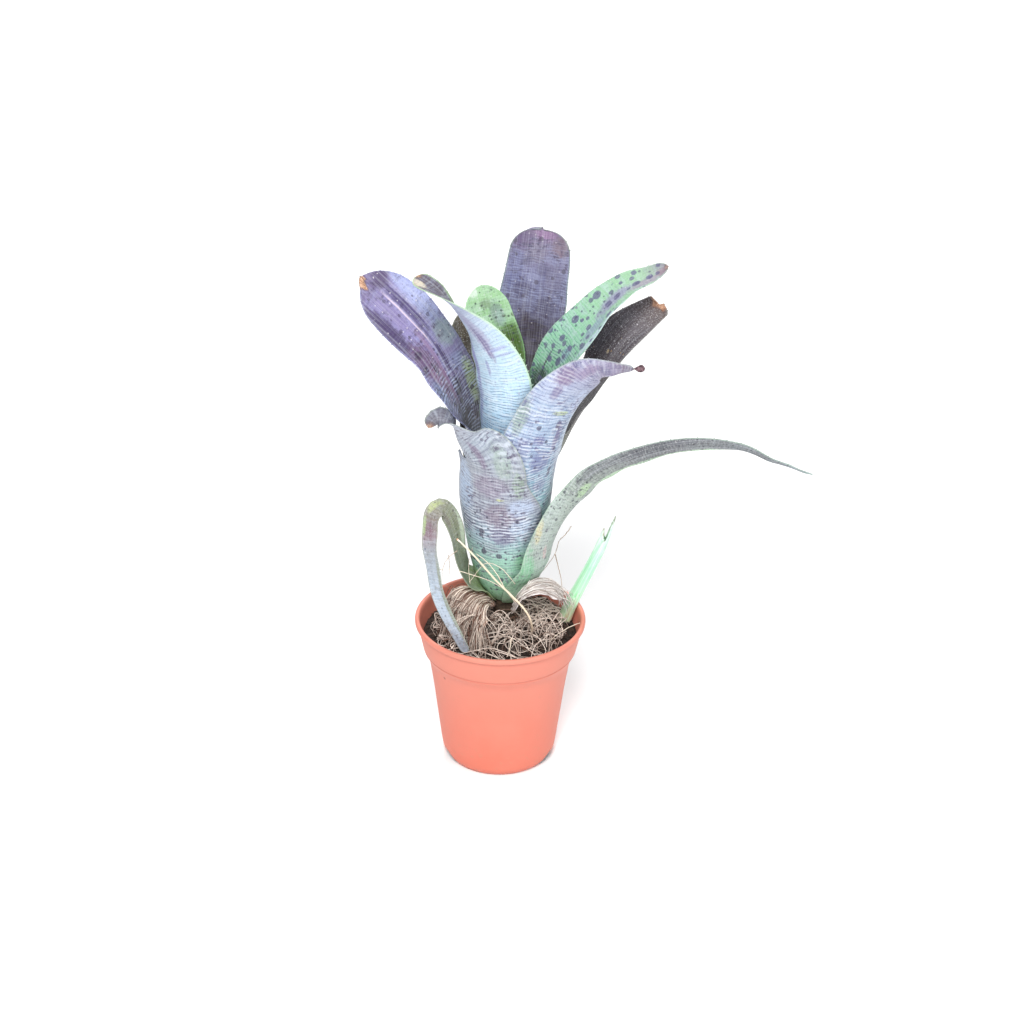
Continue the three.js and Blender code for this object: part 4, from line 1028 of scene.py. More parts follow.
def pot_material():
    g = Graph("pot_surface")
    place = g.position()
    x, y, z = g.parts(place)
    cloud = g.noise(place, 38, detail=3)
    speckle = g.noise(place, 1500, detail=2)
    drag = g.stretched((x, y, z), (60, 60, 900), detail=2)
    # Painted light and shade: the base colour is darker towards the foot and lighter towards the rim,
    # as the lamps above light the pot.
    g.base(z.between(0.0, 0.11), "#d4745f", "#d58270")
    g.paint(cloud.between(0.35, 0.7, 0.25), "#db8b79")
    g.paint(drag.between(0.55, 0.8, 0.1), "#c46f5e")
    # Painted shadow: a dark line just under the collar, where its step casts shade on the wall below.
    painted_collar_shadow = z.between(0.0866, 0.0876) * z.between(0.0886, 0.0878)
    g.paint(painted_collar_shadow * 0.35, "#a84c3b")
    g.paint(g.dots(place, 55, (0.075, 0.045), (0.86, 0.9)) * 0.6, "#7d4a36")
    dust = g.noise(place, 240, detail=4).between(0.56, 0.72)
    g.paint(dust * z.between(0.0, 0.03, 0.12, 0.4), "#b9856c")
    normal = g.bump(speckle * 0.5 + drag * 0.4, 0.05)
    return g.finish(cloud.between(0.3, 0.7, 0.6, 0.5), normal, Specular_IOR_Level=0.35)


def cut_cylinders(piece, radius, depth, segments, places):
    """Cuts upright cylinders, each moved to its place by a matrix, out of a piece."""
    mesh = bpy.data.meshes.new("cutter")
    rings = [level_ring(radius, z, segments) for z in (-depth / 2, depth / 2)]
    ends = [tuple(range(segments))[::-1], tuple(range(segments, 2 * segments))]
    mesh.from_pydata((np.vstack(rings) * MM).tolist(), [], ends + side_faces(2, segments))
    for place in places:
        cutter = add_object("cutter", mesh)
        cutter.matrix_world = place
        bpy.context.view_layer.update()
        modifier = piece.modifiers.new("cut", "BOOLEAN")
        modifier.operation = "DIFFERENCE"
        modifier.object = cutter
        modifier.solver = "EXACT"
        bpy.context.view_layer.objects.active = piece
        bpy.ops.object.modifier_apply(modifier=modifier.name)
        bpy.data.objects.remove(cutter)
    bpy.data.meshes.remove(mesh)


def turned(degrees):
    return Matrix.Rotation(math.radians(degrees), 4, "Z")


def make_pot():
    """The pot's wall turned round its axis, with drain holes and notches cut in its foot."""
    profile = rounded([np.array(p, float) for p in POT_PROFILE])
    rings = [level_ring(radius, height, POT_SEGMENTS) for radius, height in profile]
    vertices = np.vstack([[0.0, 0.0, 0.0], *rings, [0.0, 0.0, POT_FLOOR]])
    last = len(vertices) - 1
    faces = []
    for k in range(POT_SEGMENTS):
        n = (k + 1) % POT_SEGMENTS
        faces.append((0, 1 + n, 1 + k))
        faces.append((last - POT_SEGMENTS + k, last - POT_SEGMENTS + n, last))
        for low in range(1, last - POT_SEGMENTS, POT_SEGMENTS):
            high = low + POT_SEGMENTS
            faces.append((low + k, low + n, high + n, high + k))
    pot = add_piece("pot_shell", vertices, faces, pot_material())
    to_circle = Matrix.Translation((DRAIN_HOLE_CIRCLE * MM, 0, 0))
    holes = [turned(angle) @ to_circle for angle in DRAIN_HOLE_ANGLES]
    cut_cylinders(pot, DRAIN_HOLE_RADIUS, 4 * POT_FLOOR, 32, holes)
    to_foot = Matrix.Translation((0, -(POT_FOOT_RADIUS + 5) * MM, 0))
    lying = Matrix.Rotation(math.pi / 2, 4, "X")
    notches = [turned(angle) @ to_foot @ lying for angle in DRAIN_NOTCH_ANGLES]
    cut_cylinders(pot, DRAIN_NOTCH_RADIUS, DRAIN_NOTCH_DEPTH, 48, notches)
    pot.data.set_sharp_from_angle(angle=math.radians(50))
    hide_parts("pot")


# ------------------------------------------------------------------ soil and stem

MOUND_RADIUS = 50
SOIL_SEGMENTS = 120
SOIL_CIRCLES = 46
SOIL_FOOT_RADIUS = 34.5
SOIL_LEVELS = [7.4, 22, 57, 77, 88, SOIL_SURFACE - 2]
CHIP_COUNT = 1500
CHIP_SIZE = np.array([2.6, 1.5, 0.8])
CUBE_CORNERS = np.array([[x, y, z] for x in (-1, 1) for y in (-1, 1) for z in (-1, 1)], float)
CUBE_SIDES = [(0, 1, 3, 2), (4, 6, 7, 5), (0, 4, 5, 1), (2, 3, 7, 6), (0, 2, 6, 4), (1, 5, 7, 3)]


def soil_height(x, y):
    """The mound round the plant's foot, with lumps."""
    reach = np.hypot(x - PLANT[0], y - PLANT[1]) / MOUND_RADIUS
    mound = SOIL_MOUND * np.maximum(0, 1 - reach)
    lumps = np.sin(x * 0.42 + 1.3) * np.cos(y * 0.37 + x * 0.11)
    grains = np.sin(x * 1.13 - y * 0.71) * np.sin(y * 0.97 + 0.6)
    return SOIL_SURFACE + mound + 0.9 * lumps + 0.6 * grains


def soil_radius(z):
    return inner_radius(z) - CLEARANCE - 0.1


def soil_material():
    g = Graph("soil_surface")
    place = g.position()
    coarse = g.noise(place, 210, detail=5, roughness=0.7)
    fine = g.noise(place, 1300, detail=4, roughness=0.7)
    g.base(coarse.between(0.38, 0.7), "#120b08", "#33241b")
    g.paint(fine.between(0.56, 0.74, 0.5), "#6d5442")
    g.paint(g.attribute("tone") * 0.35, "#5c463a")
    g.paint(g.dots(place, 420, (0.2, 0.12), (0.92, 0.96)), "#d8c6ac")
    return g.finish(0.92, g.bump(coarse + fine * 0.6, 0.9))


def make_soil():
    """The soil fills the pot, and its top is roughened by crossed waves."""
    random = np.random.default_rng(7)
    material = soil_material()
    edge = soil_radius(SOIL_LEVELS[-1])
    rings = [level_ring(SOIL_FOOT_RADIUS, POT_FLOOR + 0.4, SOIL_SEGMENTS)]
    rings += [level_ring(soil_radius(z), z, SOIL_SEGMENTS) for z in SOIL_LEVELS]
    phases = random.uniform(0, 6.28, (24, 2))
    waves = random.uniform(0.25, 1.3, (24, 2)) * random.choice([-1, 1], (24, 2))
    for share in np.linspace(1, 0.02, SOIL_CIRCLES)[1:]:
        x, y, _ = level_ring(edge * share, 0.0, SOIL_SEGMENTS).T
        rough = sum(np.sin(a * x + p) * np.sin(b * y + q)
                    for (a, b), (p, q) in zip(waves, phases)) * 0.28
        rings.append(np.column_stack([x, y, soil_height(x, y) - 0.8 + rough]))
    vertices = np.vstack(rings)
    tone = random.uniform(0, 0.3, len(vertices))
    faces = tube_faces(len(rings), SOIL_SEGMENTS)
    soil = add_piece("soil_bed", vertices, faces, material, {"tone": tone})
    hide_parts("soil")
    make_chips(random, edge, material)


def make_chips(random, edge, material):
    """Bark chips strewn over the soil, out to its edge."""
    chips, faces, tones = [], [], []
    for _ in range(CHIP_COUNT):
        radius = edge * math.sqrt(random.uniform(0.03, 0.97))
        angle = random.uniform(0, 2 * math.pi)
        x, y = radius * math.cos(angle), radius * math.sin(angle)
        size = random.uniform(0.5, 1.0) * CHIP_SIZE * random.uniform(0.4, 1.1)
        if radius + size[0] > edge:
            continue
        centre = np.array([x, y, float(soil_height(x, y)) - 0.2])
        turn = Matrix.Rotation(random.uniform(0, 6.28), 3, "Z")
        turn = np.array(turn @ Matrix.Rotation(random.uniform(-0.6, 0.6), 3, "X"))
        shape = CUBE_CORNERS * size * random.uniform(0.6, 1.1, (8, 3))
        faces += [tuple(8 * len(chips) + k for k in side) for side in CUBE_SIDES]
        chips.append(shape @ turn.T + centre)
        tones += [random.uniform(0, 1)] * 8
    add_piece("soil_chips", np.vstack(chips), faces, material, {"tone": tones},
              smooth=False)


def stem_material():
    g = Graph("stem_surface")
    place = g.position()
    rough = g.noise(place, 260, detail=5, roughness=0.7)
    rings = g.stretched(g.parts(place), (60, 60, 700), detail=3)
    g.base(rough.between(0.3, 0.7), "#231912", "#4d3e2f")
    g.paint(rings.between(0.5, 0.7, 0.6), "#5c4b39")
    return g.finish(0.88, g.bump(rough + rings, 0.7))


def make_stem():
    """The stem with its rings of leaf scars, a little thinner than its CAD node."""
    segments = 60
    random = np.random.default_rng(3)
    angles = circle_angles(segments)
    phases = random.uniform(0, 6.28, 6)
    rings = []
    for z in np.linspace(STEM_RADIUS[0][0], STEM_RADIUS[-1][0], 90):
        scar = 0.45 * (0.5 + 0.5 * math.sin(z * 1.25)) if 0 < z < 27 else 0.0
        rough = 0.25 * np.sin(5 * angles + phases[0] + z * 0.3) * np.sin(3 * angles + phases[1])
        fine = 0.14 * np.sin(17 * angles + z * 1.7 + phases[2])
        radius = straight(STEM_RADIUS, z) - 0.3 - scar + rough + fine
        rings.append(level_ring(radius, z, segments))
    stem = add_piece("stem_core", to_pot_frame(np.vstack(rings)),
                     tube_faces(len(rings), segments), stem_material())
    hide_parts("stem")


# ------------------------------------------------------------------ roots and loose stalks

ROOT_STEP = 2.2
ROOT_REACH = 50             # how far from the pot's axis a root may wander

# Tangles of roots: count, lengths, lifts off the soil, radii, reach, centre.
ROOTS = [
    (140, (22, 66), (0.6, 11), (0.26, 0.48), 46, (0, 0)),
    (55, (16, 34), (8, 17), (0.2, 0.4), 15, (21, -7)),
    (45, (14, 30), (6, 14), (0.16, 0.34), 9, (3, -7)),
]
HAIRS = (120, (14, 48), (0.5, 12), (0.1, 0.2), 47, (0, 0))


def tubes(lines, sides):
    """Vertices, faces and a per-vertex tone for thin strands, each (points, radii, tone)."""
    vertices, faces, tones = [], [], []
    angles = circle_angles(sides)
    for points, radii, tone in lines:
        tangent = unit(np.gradient(points, axis=0))
        helper = np.where(np.abs(tangent[:, 2:3]) > 0.9, [[1.0, 0, 0]], [[0, 0, 1.0]])
        across = unit(np.cross(helper, tangent))
        over = np.cross(tangent, across)
        ring = (np.cos(angles)[None, :, None] * across[:, None, :]
                + np.sin(angles)[None, :, None] * over[:, None, :])
        body = points[:, None, :] + ring * radii[:, None, None]
        faces += tube_faces(len(points), sides, first=len(tones))
        vertices.append(body.reshape(-1, 3))
        tones += [tone] * (len(points) * sides)
    return np.vstack(vertices), faces, tones


def root_material(name, dark, pale, ends=None):
    g = Graph(name)
    place = g.position()
    tone = g.attribute("tone")
    patch = g.noise(place, 330, detail=3)
    fine = g.noise(place, 2600, detail=2)
    g.base((tone * 0.8 + patch * 0.4).between(0.15, 1.05), dark, pale)
    g.paint(fine.between(0.5, 0.72, 0.35), "#6a4a34")
    if ends:
        g.paint(tone.between(0.75, 1.0, 0.8), ends)
    return g.finish(0.72, g.bump(fine, 0.15))


def wandering_root(random, length, lift, start):
    """A strand that crosses the soil in a loose curve and rises off it by up to lift."""
    steps = max(int(length / ROOT_STEP), 6)
    x, y = start
    heading = random.uniform(0, 2 * math.pi)
    turn = random.uniform(-0.12, 0.12)
    points = []

    def ahead():
        return x + ROOT_STEP * math.cos(heading), y + ROOT_STEP * math.sin(heading)

    for _ in range(steps):
        turn = float(np.clip(turn + random.normal(0, 0.03), -0.26, 0.26))
        heading += turn
        if math.hypot(*ahead()) > ROOT_REACH:
            next_x, next_y = ahead()
            heading = math.atan2(-next_y, -next_x) + random.uniform(-1.0, 1.0)
            turn = 0.0
        x, y = ahead()
        points.append([x, y, 0.0])
    points = np.array(points)
    arch = np.sin(np.pi * np.linspace(0, 1, steps)) ** 0.7
    humps = 0.5 + 0.5 * np.sin(np.linspace(0, random.uniform(3, 9), steps) + random.uniform(0, 6))
    base = soil_height(points[:, 0], points[:, 1])
    points[:, 2] = base + 0.3 + lift * arch * (0.45 + 0.55 * humps)
    for _ in range(5):
        points[1:-1] = (points[:-2] + 2 * points[1:-1] + points[2:]) / 4
    return points


def root_lines(random, count, lengths, lifts, radii, reach, centre):
    """Strands for one tangle, each with its own start, length, lift, thickness and tone."""
    lines = []
    for _ in range(count):
        radius = reach * math.sqrt(random.uniform(0.04, 1.0))
        angle = random.uniform(0, 2 * math.pi)
        start = (centre[0] + radius * math.cos(angle), centre[1] + radius * math.sin(angle))
        points = wandering_root(random, random.uniform(*lengths), random.uniform(*lifts), start)
        thick = random.uniform(*radii)
        taper = thick * (1 - 0.5 * np.linspace(0, 1, len(points)))
        lines.append((points, taper, random.uniform(0, 1) ** 0.7))
    return lines


def add_strands(name, lines, sides, material):
    """One piece for many strands."""
    vertices, faces, tones = tubes(lines, sides)
    add_piece(name, vertices, faces, material, {"tone": tones})


def make_roots():
    random = np.random.default_rng(23)
    material = root_material("root_surface", "#5f4030", "#faeade")
    coarse = [line for tangle in ROOTS for line in root_lines(random, *tangle)]
    add_strands("root_tangle", coarse, 5, material)
    add_strands("root_hairs", root_lines(random, *HAIRS), 3, material)


# The straw's points from the plant's foot, with heights over the soil beside it.
STRAW_POINTS = [
    [17, -21, -0.45], [17.2, -28, 9], [15.5, -32.5, 19], [10.5, -34, 29], [2, -33.5, 38.5],
    [-9, -31.5, 49.5], [-24.5, -31, 69], [-35, -30, 80],
]
STRAW_RINGS = 60
STRAW_SIDES = 8
WISP_RINGS = 30

# Loose wisps: points from the plant's foot, radius at the start, tone.
STALKS = [
    ([[6.8, -29, 34.5], [-2, -30, 47.9], [-7.3, -30, 58.7], [-14.2, -29.5, 68.2],
      [-21.9, -29, 74.6]], 0.4, 0.95),
    ([[4.8, -26, 49.6], [1.3, -29, 56.3], [-5.6, -29.5, 64.4], [-15.9, -30, 67.4],
      [-26, -29, 52.9]], 0.3, 0.9),
    ([[-50.8, -30, 63], [-37.1, -33, 63.9], [-24.3, -33, 60.2], [-12.3, -32, 54.9],
      [-2, -31, 47.5], [5, -28, 37.8]], 0.28, 0.95),
    ([[-35, -24, 74], [-41.6, -24, 67.6], [-44.9, -23, 59], [-45.6, -20, 47.4]], 0.3, 0.5),
    ([[-40.9, -20, 68.3], [-40.5, -18, 59.2], [-41, -14, 47]], 0.28, 0.4),
    ([[43.6, 8, 76.7], [39.4, 7, 70.2], [35.5, 6, 66.2], [32.7, 4, 56.8], [27.5, 0, 50],
      [20.5, -10, 45.6]], 0.32, 0.35),
    ([[32.7, 4, 56.3], [35.5, 2, 45.9], [37.6, 0, 37], [38, -3, 28.6]], 0.34, 0.25),
    ([[53.8, -8, 8.8], [44.7, -20, 12.4], [34.9, -30, 11.8], [30.5, -36, 10.8]], 0.4, 1.0),
    ([[2.8, -40, 14.4], [2, -47, 11.1], [0, -57, 9.8]], 0.45, 1.0),
    ([[-26, -28, 50.3], [-27, -27, 64.6], [-24.5, -26, 77.8]], 0.2, 0.8),
    ([[65, 10, 174.5], [62.8, 9, 162.3], [59.8, 6, 144.8], [58, 3, 132.6]], 0.1, 0.9),
]


def make_stalks():
    """The straw, paler between its two brown ends, and the loose wisps."""
    random = np.random.default_rng(5)
    x, y, _ = PLANT + STRAW_POINTS[0]
    foot = float(soil_height(x, y)) - PLANT[2] + CLEARANCE
    points = curve_through([[x, y, z + foot] for x, y, z in STRAW_POINTS], STRAW_RINGS)
    share = np.linspace(0, 1, STRAW_RINGS)
    radii = 0.85 - 0.25 * share + 0.05 * np.sin(share * 90)
    points = points + random.normal(0, 0.05, points.shape)
    vertices, faces, _ = tubes([(points + PLANT, radii, 0.5)], STRAW_SIDES)
    tone = np.repeat(np.abs(2 * share - 1) ** 9, STRAW_SIDES)
    material = root_material("straw_surface", "#efdcc2", "#fdf4e8", ends="#cf8648")
    straw = add_piece("straw_stalk", vertices, faces, material, {"tone": tone})
    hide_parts("straw")

    lines = []
    for knots, radius, tone in STALKS:
        points = curve_through(knots, WISP_RINGS) + PLANT
        points = points + random.normal(0, 0.06, points.shape)
        lines.append((points, np.linspace(radius, radius * 0.5, WISP_RINGS), tone))
    material = root_material("wisp_surface", "#8f6f5c", "#f3e4d0")
    add_strands("root_wisps", lines, 5, material)


# ------------------------------------------------------------------ dry leaf bases

HUSK_COLUMNS = 48
FIBRE_STEP = 1.6
FIBRE_REACH = 52            # how far from the pot's axis a loose fibre may hang

# lobes is the count of ribs, fibres that of loose strands and drop how far they hang, tear the
# range of the torn end's lengths, tints the husk's dark, middle and pale colours, and strands the
# fibres' dark and pale ones.
HUSKS = [
    dict(
        name="husk_left", azimuth=-60, lobes=19, fibres=330, drop=34, tear=(-15, 1),
        tints=["#5a382a", "#d3aa92", "#f8e8da"], strands=["#64402f", "#fdeee0"],
        blade=[
            [12, 0, 24, 6, -20, 0], [22.5, 0, 33.5, 15, -34, 0], [32, 0, 34.5, 22, -44, 0],
            [39, 0, 27, 26, -46, 0], [43, 0, 16, 27, -46, 0],
        ],
    ),
    dict(
        name="husk_right", azimuth=90, lobes=11, fibres=60, drop=20, tear=(-6, 3),
        tints=["#9c8c86", "#f0ebe9", "#fdfbfa"], strands=["#ad9d94", "#fbf6f2"],
        blade=[
            [3.5, -12.6, 22, 4, -20, 0], [6.6, -24.6, 33, 4, -26, 0],
            [10, -29.6, 43.5, 5, -30, 0], [18.2, -28.8, 48.8, 8, -34, 0],
            [26, -21.6, 46, 9, -36, 0], [32.5, -15.5, 41, 10, -36, 0],
            [38, -9.5, 33, 7.5, -30, 0],
        ],
    ),
]


def husk_material(name, dark, tint, pale):
    g = Graph(name)
    places = (g.attribute("across"), g.attribute("along"))
    fibres = g.stretched(places, (900, 40), detail=4, roughness=0.65)
    patch = g.stretched(places, (120, 90), detail=4)
    grain = g.stretched(places, (2400, 300), detail=2)
    g.base(fibres.between(0.36, 0.6), dark, tint)
    g.paint(patch.between(0.46, 0.64, 0.85), pale)
    g.paint(grain.between(0.5, 0.7, 0.3), dark)
    g.paint(g.attribute("share").between(0.8, 1.0, 0.4), dark)
    return g.finish(0.8, g.bump(fibres + patch * 0.5, 0.5), Sheen_Weight=0.15)


def make_husk(husk):
    """A ribbed, waved and torn skin over the husk's CAD node, with its loose fibres."""
    random = np.random.default_rng(husk["lobes"])
    grid, tangents, flat = leaf_grid(husk, HUSK_COLUMNS)
    ribs = np.sin(flat["spread"] * husk["lobes"] * np.pi + 0.6 * np.sin(flat["along"] / 6))
    waves = np.sin(flat["along"] / 4 + flat["spread"] * 7)
    grid = grid + grid_normals(grid) * (0.35 * ribs + 0.5 * waves)[..., None]
    torn = np.interp(np.linspace(0, 40, HUSK_COLUMNS + 1), np.arange(41),
                     random.uniform(*husk["tear"], 41))
    grid = torn_at_tip(grid, tangents, torn, np.clip((flat["share"] - 0.6) / 0.4, 0, 1) ** 1.5)
    normals = grid_normals(grid)
    vertices, faces, index, _ = shell(grid, normals, np.full(grid.shape[:2], 0.35), 0.1)
    attributes = on_vertices(flat, index, ("along", "across"))
    material = husk_material(husk["name"] + "_surface", *husk["tints"])
    piece = add_piece(husk["name"] + "_skin", to_pot_frame(vertices), faces, material,
                      attributes)
    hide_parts(husk["name"])
    material = root_material(husk["name"] + "_fibre_surface", *husk["strands"])
    add_strands(husk["name"] + "_fibres", husk_fibres(husk, grid, normals, random), 4, material)


def husk_fibres(husk, grid, normals, random):
    """Strands that lie on the husk's outside and hang off its end, down to the soil."""
    lines = []
    outward = np.sign(np.sum(normals * grid))
    for _ in range(husk["fibres"]):
        column = random.uniform(0, HUSK_COLUMNS)
        j = int(min(column, HUSK_COLUMNS - 1))
        t = column - j
        first = int(random.uniform(0.1, 0.7) * len(grid))
        line = grid[first:, j] * (1 - t) + grid[first:, j + 1] * t
        sway = np.linspace(0, random.normal(0, 3.2), len(line))[:, None]
        line = line + outward * normals[first:, j] * random.uniform(0.6, 1.8)
        line = line + sway * unit(grid[first:, j + 1] - grid[first:, j])
        points = list(to_pot_frame(line))
        run = unit(points[-1] - points[-3]) + random.normal(0, 0.24, 3)
        for _ in range(int(random.uniform(0.4, 1.0) * husk["drop"] / FIBRE_STEP)):
            run = unit(run + [0, 0, -0.12] + random.normal(0, 0.06, 3))
            point = points[-1] + run * FIBRE_STEP
            ground = float(soil_height(point[0], point[1])) + 0.3
            distance = math.hypot(point[0], point[1])
            if distance > FIBRE_REACH:
                point[:2] *= FIBRE_REACH / distance
            point[2] = max(point[2], ground)
            points.append(point)
        radius = random.uniform(0.16, 0.36)
        lines.append((np.array(points), np.linspace(radius, radius * 0.5, len(points)),
                      random.uniform(0, 1)))
    return lines


# ------------------------------------------------------------------ pup

PUP_AZIMUTH = 90
PUP_SIDES = 40
PUP_ROWS = 60
PUP_WALL = 0.75
PUP_SEAM = 27               # the side that bulges
# [out, aside, up, half width, half depth] from the pup's foot.
PUP_PATH = [
    [0, 0, -8, 4.6, 4.4], [1, 0, 2, 4.8, 4.7], [5.4, 0, 16, 5, 4.9], [13.2, 0, 34, 4.9, 4.6],
    [21, 0, 52, 4.8, 4.3], [25.4, 0, 63, 4.7, 4.1], [29.6, 0, 75, 4.5, 3.6],
]
PUP_TORN = [9, 8, 2, -7, -8, -5, 0, -6, -9, -2, 6, 8.5]     # height of each torn strip
PUP_TORN_LEAN = 0.1
PUP_BRACT = dict(
    azimuth=60, blade=[[4.4, 0, 3, 4.6, 50, 0], [7, 0, 12, 4.9, 50, 0], [11, 0, 24, 3.8, 40, 0]],
)


def pup_material():
    g = Graph("pup_surface")
    share, inside = g.attribute("share"), g.attribute("inside")
    places = (g.attribute("around"), share)
    streaks = g.stretched(places, (26, 3), detail=4, roughness=0.6)
    patch = g.stretched(places, (3, 9), detail=3)
    fine = g.stretched(places, (70, 5), detail=2)
    g.colour = g.ramp(share, [(0, "#d9cfa6"), (0.16, "#dfe6bc"), (0.32, "#b9edc0"),
                              (0.6, "#a3eebb"), (0.85, "#c4f6d6"), (1, "#e4fbee")])
    g.paint(streaks.between(0.45, 0.65, 0.55), "#f2fff6")
    g.paint(patch.between(0.55, 0.7, 0.45), "#7fd49c")
    frayed = share + streaks * 0.16
    g.paint(frayed.between(1.06, 1.1, 0.8), "#8d6c4c")
    foot = share + patch * 0.12
    g.paint(foot.between(0.24, 0.18, 0.6), "#a98c62")
    g.paint(inside * 0.5, "#8fb58a")
    return g.finish(0.45, g.bump(streaks + fine, 0.25), Coat_Weight=0.1)


def pup_ring(row, station, tear, shrink):
    """A ring of the pup's tube, thinner by shrink and torn near its end."""
    offset, aside, up, half_width, half_depth = station
    out, side = level_axes(PUP_AZIMUTH)
    angles = circle_angles(PUP_SIDES)
    seam = 0.7 * np.exp(-((np.arange(PUP_SIDES) - PUP_SEAM) / 1.6) ** 2)
    shift = tear * max(0.0, (row / (PUP_ROWS - 1) - 0.72) / 0.28) ** 1.3
    radial = 1 + 0.05 * np.cos(2 * angles + row * 0.1) + seam / 5
    width = (half_width - shrink) * radial
    depth = (half_depth - shrink) * radial
    ring = np.array([0, 0, up]) + np.outer(shift, [0, 0, 1])
    ring = ring + np.outer(offset + PUP_TORN_LEAN * shift + depth * np.cos(angles), out)
    return ring + np.outer(aside + width * np.sin(angles), side)


def make_pup():
    """The pup's torn tube, which is open at its top, and the bract at its foot."""
    random = np.random.default_rng(12)
    path = curve_through(PUP_PATH, PUP_ROWS)
    strips = np.append(PUP_TORN, PUP_TORN[0])
    tear = np.interp(np.arange(PUP_SIDES), np.linspace(0, PUP_SIDES, len(strips)), strips)
    tear = tear + random.uniform(-1.5, 1.5, PUP_SIDES)
    outside = [(row, 0.0) for row in range(PUP_ROWS)]
    inside = [(row, 1.0) for row in range(PUP_ROWS - 1, PUP_ROWS // 2, -1)]
    rows, sides = zip(*outside, *inside)
    rings = [pup_ring(row, path[row], tear, side * PUP_WALL) for row, side in zip(rows, sides)]
    attributes = {
        "share": np.repeat(np.array(rows) / (PUP_ROWS - 1), PUP_SIDES),
        "around": np.tile(circle_angles(PUP_SIDES) / (2 * np.pi), len(rows)),
        "inside": np.repeat(sides, PUP_SIDES),
    }
    material = pup_material()
    faces = tube_faces(len(rings), PUP_SIDES)
    pup = add_piece("pup_tube", np.vstack(rings) + PUP_FOOT, faces, material,
                    attributes)
    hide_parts("pup")

    grid, tangents, flat = leaf_grid(PUP_BRACT, 12)
    grid = torn_at_tip(grid, tangents, random.uniform(-3, 4, 13), flat["share"] ** 4)
    vertices, faces, index, _ = shell(grid, grid_normals(grid), np.full(grid.shape[:2], 0.4), 0.1)
    values = on_vertices(flat, index, (), ("share", "spread"))
    attributes = {"share": 0.12 + 0.2 * values["share"], "around": values["spread"] * 0.15,
                  "inside": np.zeros(len(vertices))}
    add_piece("pup_bract", vertices + PUP_FOOT, faces, material, attributes)


# ------------------------------------------------------------------ knob at a leaf's tip

KNOB_SIDES = 16
KNOB_LENGTH = 3.2
KNOB_OFFSET = 4.5

# (place along over the knob's length, radius) from the thread at the leaf's end.
KNOB_RINGS = [(-1.9, 0.35), (-1.2, 0.45), (-0.8, 1.2), (-0.35, 2.1), (0.1, 2.5), (0.55, 2.2),
              (0.85, 1.3), (1.0, 0.3)]


def make_tip_knob(grid):
    """The dried, dark end of the front right leaf, and the thread that joins it."""
    before, end = to_pot_frame(grid[[-5, -1]].mean(axis=1))
    run = unit(end - before)
    centre = end + run * KNOB_OFFSET
    angles = circle_angles(KNOB_SIDES)
    across = unit(np.cross(run, [0, 0, 1.0]))
    over = np.cross(run, across)
    rings = []
    for share, radius in KNOB_RINGS:
        lumpy = radius * (1 + 0.12 * np.sin(3 * angles + share * 4))
        ring = centre + run * share * KNOB_LENGTH
        ring = ring + np.outer(lumpy * np.cos(angles), across)
        rings.append(ring + np.outer(lumpy * np.sin(angles), over))
    g = Graph("dry_tip_surface")
    grain = g.noise(g.position(), 900, detail=4)
    g.base(grain.between(0.35, 0.65), "#3a2630", "#7d5f66")
    material = g.finish(0.6, g.bump(grain, 0.4))
    add_piece("leaf_front_right_tip", np.vstack(rings), tube_faces(len(rings), KNOB_SIDES),
              material)


# ------------------------------------------------------------------ stage, lights and camera

# Lengths in this section are metres, but for the camera's lens and sensor.
FLOOR_HALF = 4.0
FLOOR_DROP = 0.0005
WORLD_COLOUR = (0.97, 0.985, 1.0, 1)
WORLD_STRENGTH = 0.43

# name, place, target, diameter, power in watts, colour
LAMPS = [
    ("key", (-0.35, -2.5, 3.0), (0, 0, 0.2), 1.4, 150, (1.0, 0.99, 0.98)),
    ("fill", (1.6, -1.6, 1.2), (0, 0, 0.2), 1.2, 12, (0.95, 0.98, 1.0)),
    ("back", (0, 2.4, 2.4), (0, 1.9, 0), 1.6, 60, (1.0, 1.0, 1.0)),
]
CAMERA_PLACE = (0.0, -1.2844, 0.8848)
CAMERA_LENS = 74.93
CAMERA_SENSOR = 36.0
CAMERA_PITCH = 28.31        # degrees down, to the right and round the view
CAMERA_YAW = 0.317
CAMERA_ROLL = 0.9


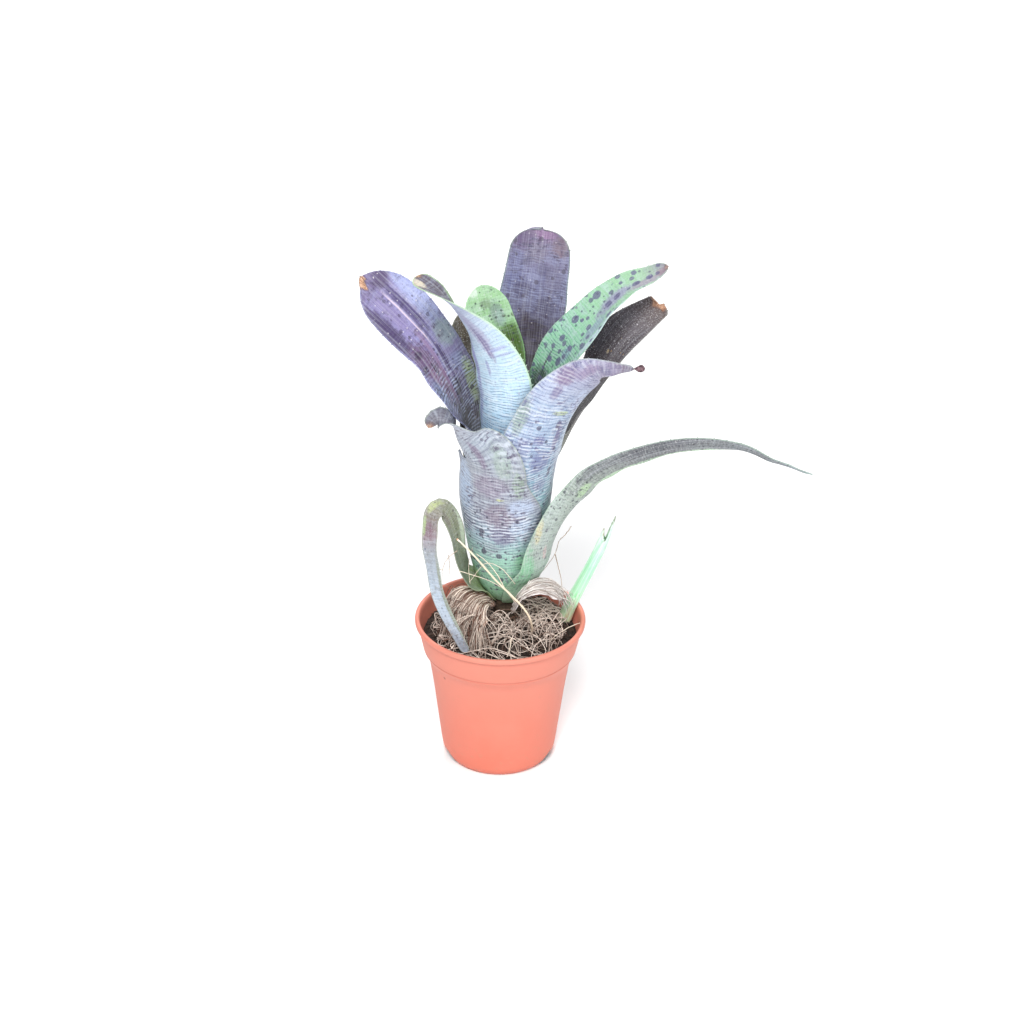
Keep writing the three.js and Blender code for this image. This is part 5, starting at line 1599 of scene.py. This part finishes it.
def make_stage():
    mesh = bpy.data.meshes.new("floor")
    corners = [(x * FLOOR_HALF, y * FLOOR_HALF, 0) for x, y in ((-1, -1), (1, -1), (1, 1), (-1, 1))]
    mesh.from_pydata(corners, [], [(0, 1, 2, 3)])
    g = Graph("floor_surface")
    cloud = g.noise(g.position(), 3, detail=2)
    g.colour = g.mix(cloud, (0.92, 0.92, 0.92, 1), (0.95, 0.95, 0.95, 1))
    mesh.materials.append(g.finish(0.8))
    floor = add_object("floor", mesh)
    floor.location.z = -FLOOR_DROP

    world = bpy.data.worlds.new("studio")
    world.use_nodes = True
    background = world.node_tree.nodes["Background"]
    background.inputs["Color"].default_value = WORLD_COLOUR
    background.inputs["Strength"].default_value = WORLD_STRENGTH
    bpy.context.scene.world = world


def area_light(name, place, target, size, power, colour):
    light = bpy.data.lights.new(name, "AREA")
    light.shape = "DISK"
    light.size = size
    light.energy = power
    light.color = colour
    lamp = add_object(name, light)
    lamp.location = place
    lamp.rotation_euler = (Vector(target) - Vector(place)).to_track_quat("-Z", "Y").to_euler()


def make_camera():
    """The photograph's view: pitched down, turned a little and rolled a little."""
    data = bpy.data.cameras.new("camera")
    data.lens = CAMERA_LENS
    data.sensor_width = CAMERA_SENSOR
    camera = add_object("camera", data)
    camera.location = CAMERA_PLACE
    pitch, yaw, roll = (math.radians(a) for a in (CAMERA_PITCH, CAMERA_YAW, CAMERA_ROLL))
    forward = Vector((math.sin(yaw) * math.cos(pitch), math.cos(yaw) * math.cos(pitch),
                      -math.sin(pitch)))
    right = forward.cross(Vector((0, 0, 1))).normalized()
    up = right.cross(forward)
    rolled_right = right * math.cos(roll) + up * math.sin(roll)
    rolled_up = up * math.cos(roll) - right * math.sin(roll)
    axes = Matrix((rolled_right, rolled_up, -forward)).transposed()
    camera.rotation_euler = axes.to_euler()
    bpy.context.scene.camera = camera


# ------------------------------------------------------------------ assembly

make_stage()
for lamp in LAMPS:
    area_light(*lamp)
make_camera()
bpy.context.scene.view_settings.view_transform = "Standard"

make_pot()
make_soil()
make_stem()
grids = {leaf["name"]: make_leaf(leaf, LOOKS[leaf["name"]]) for leaf in LEAVES}
make_tip_knob(grids["leaf_front_right"])
for husk in HUSKS:
    make_husk(husk)
make_pup()
make_roots()
make_stalks()
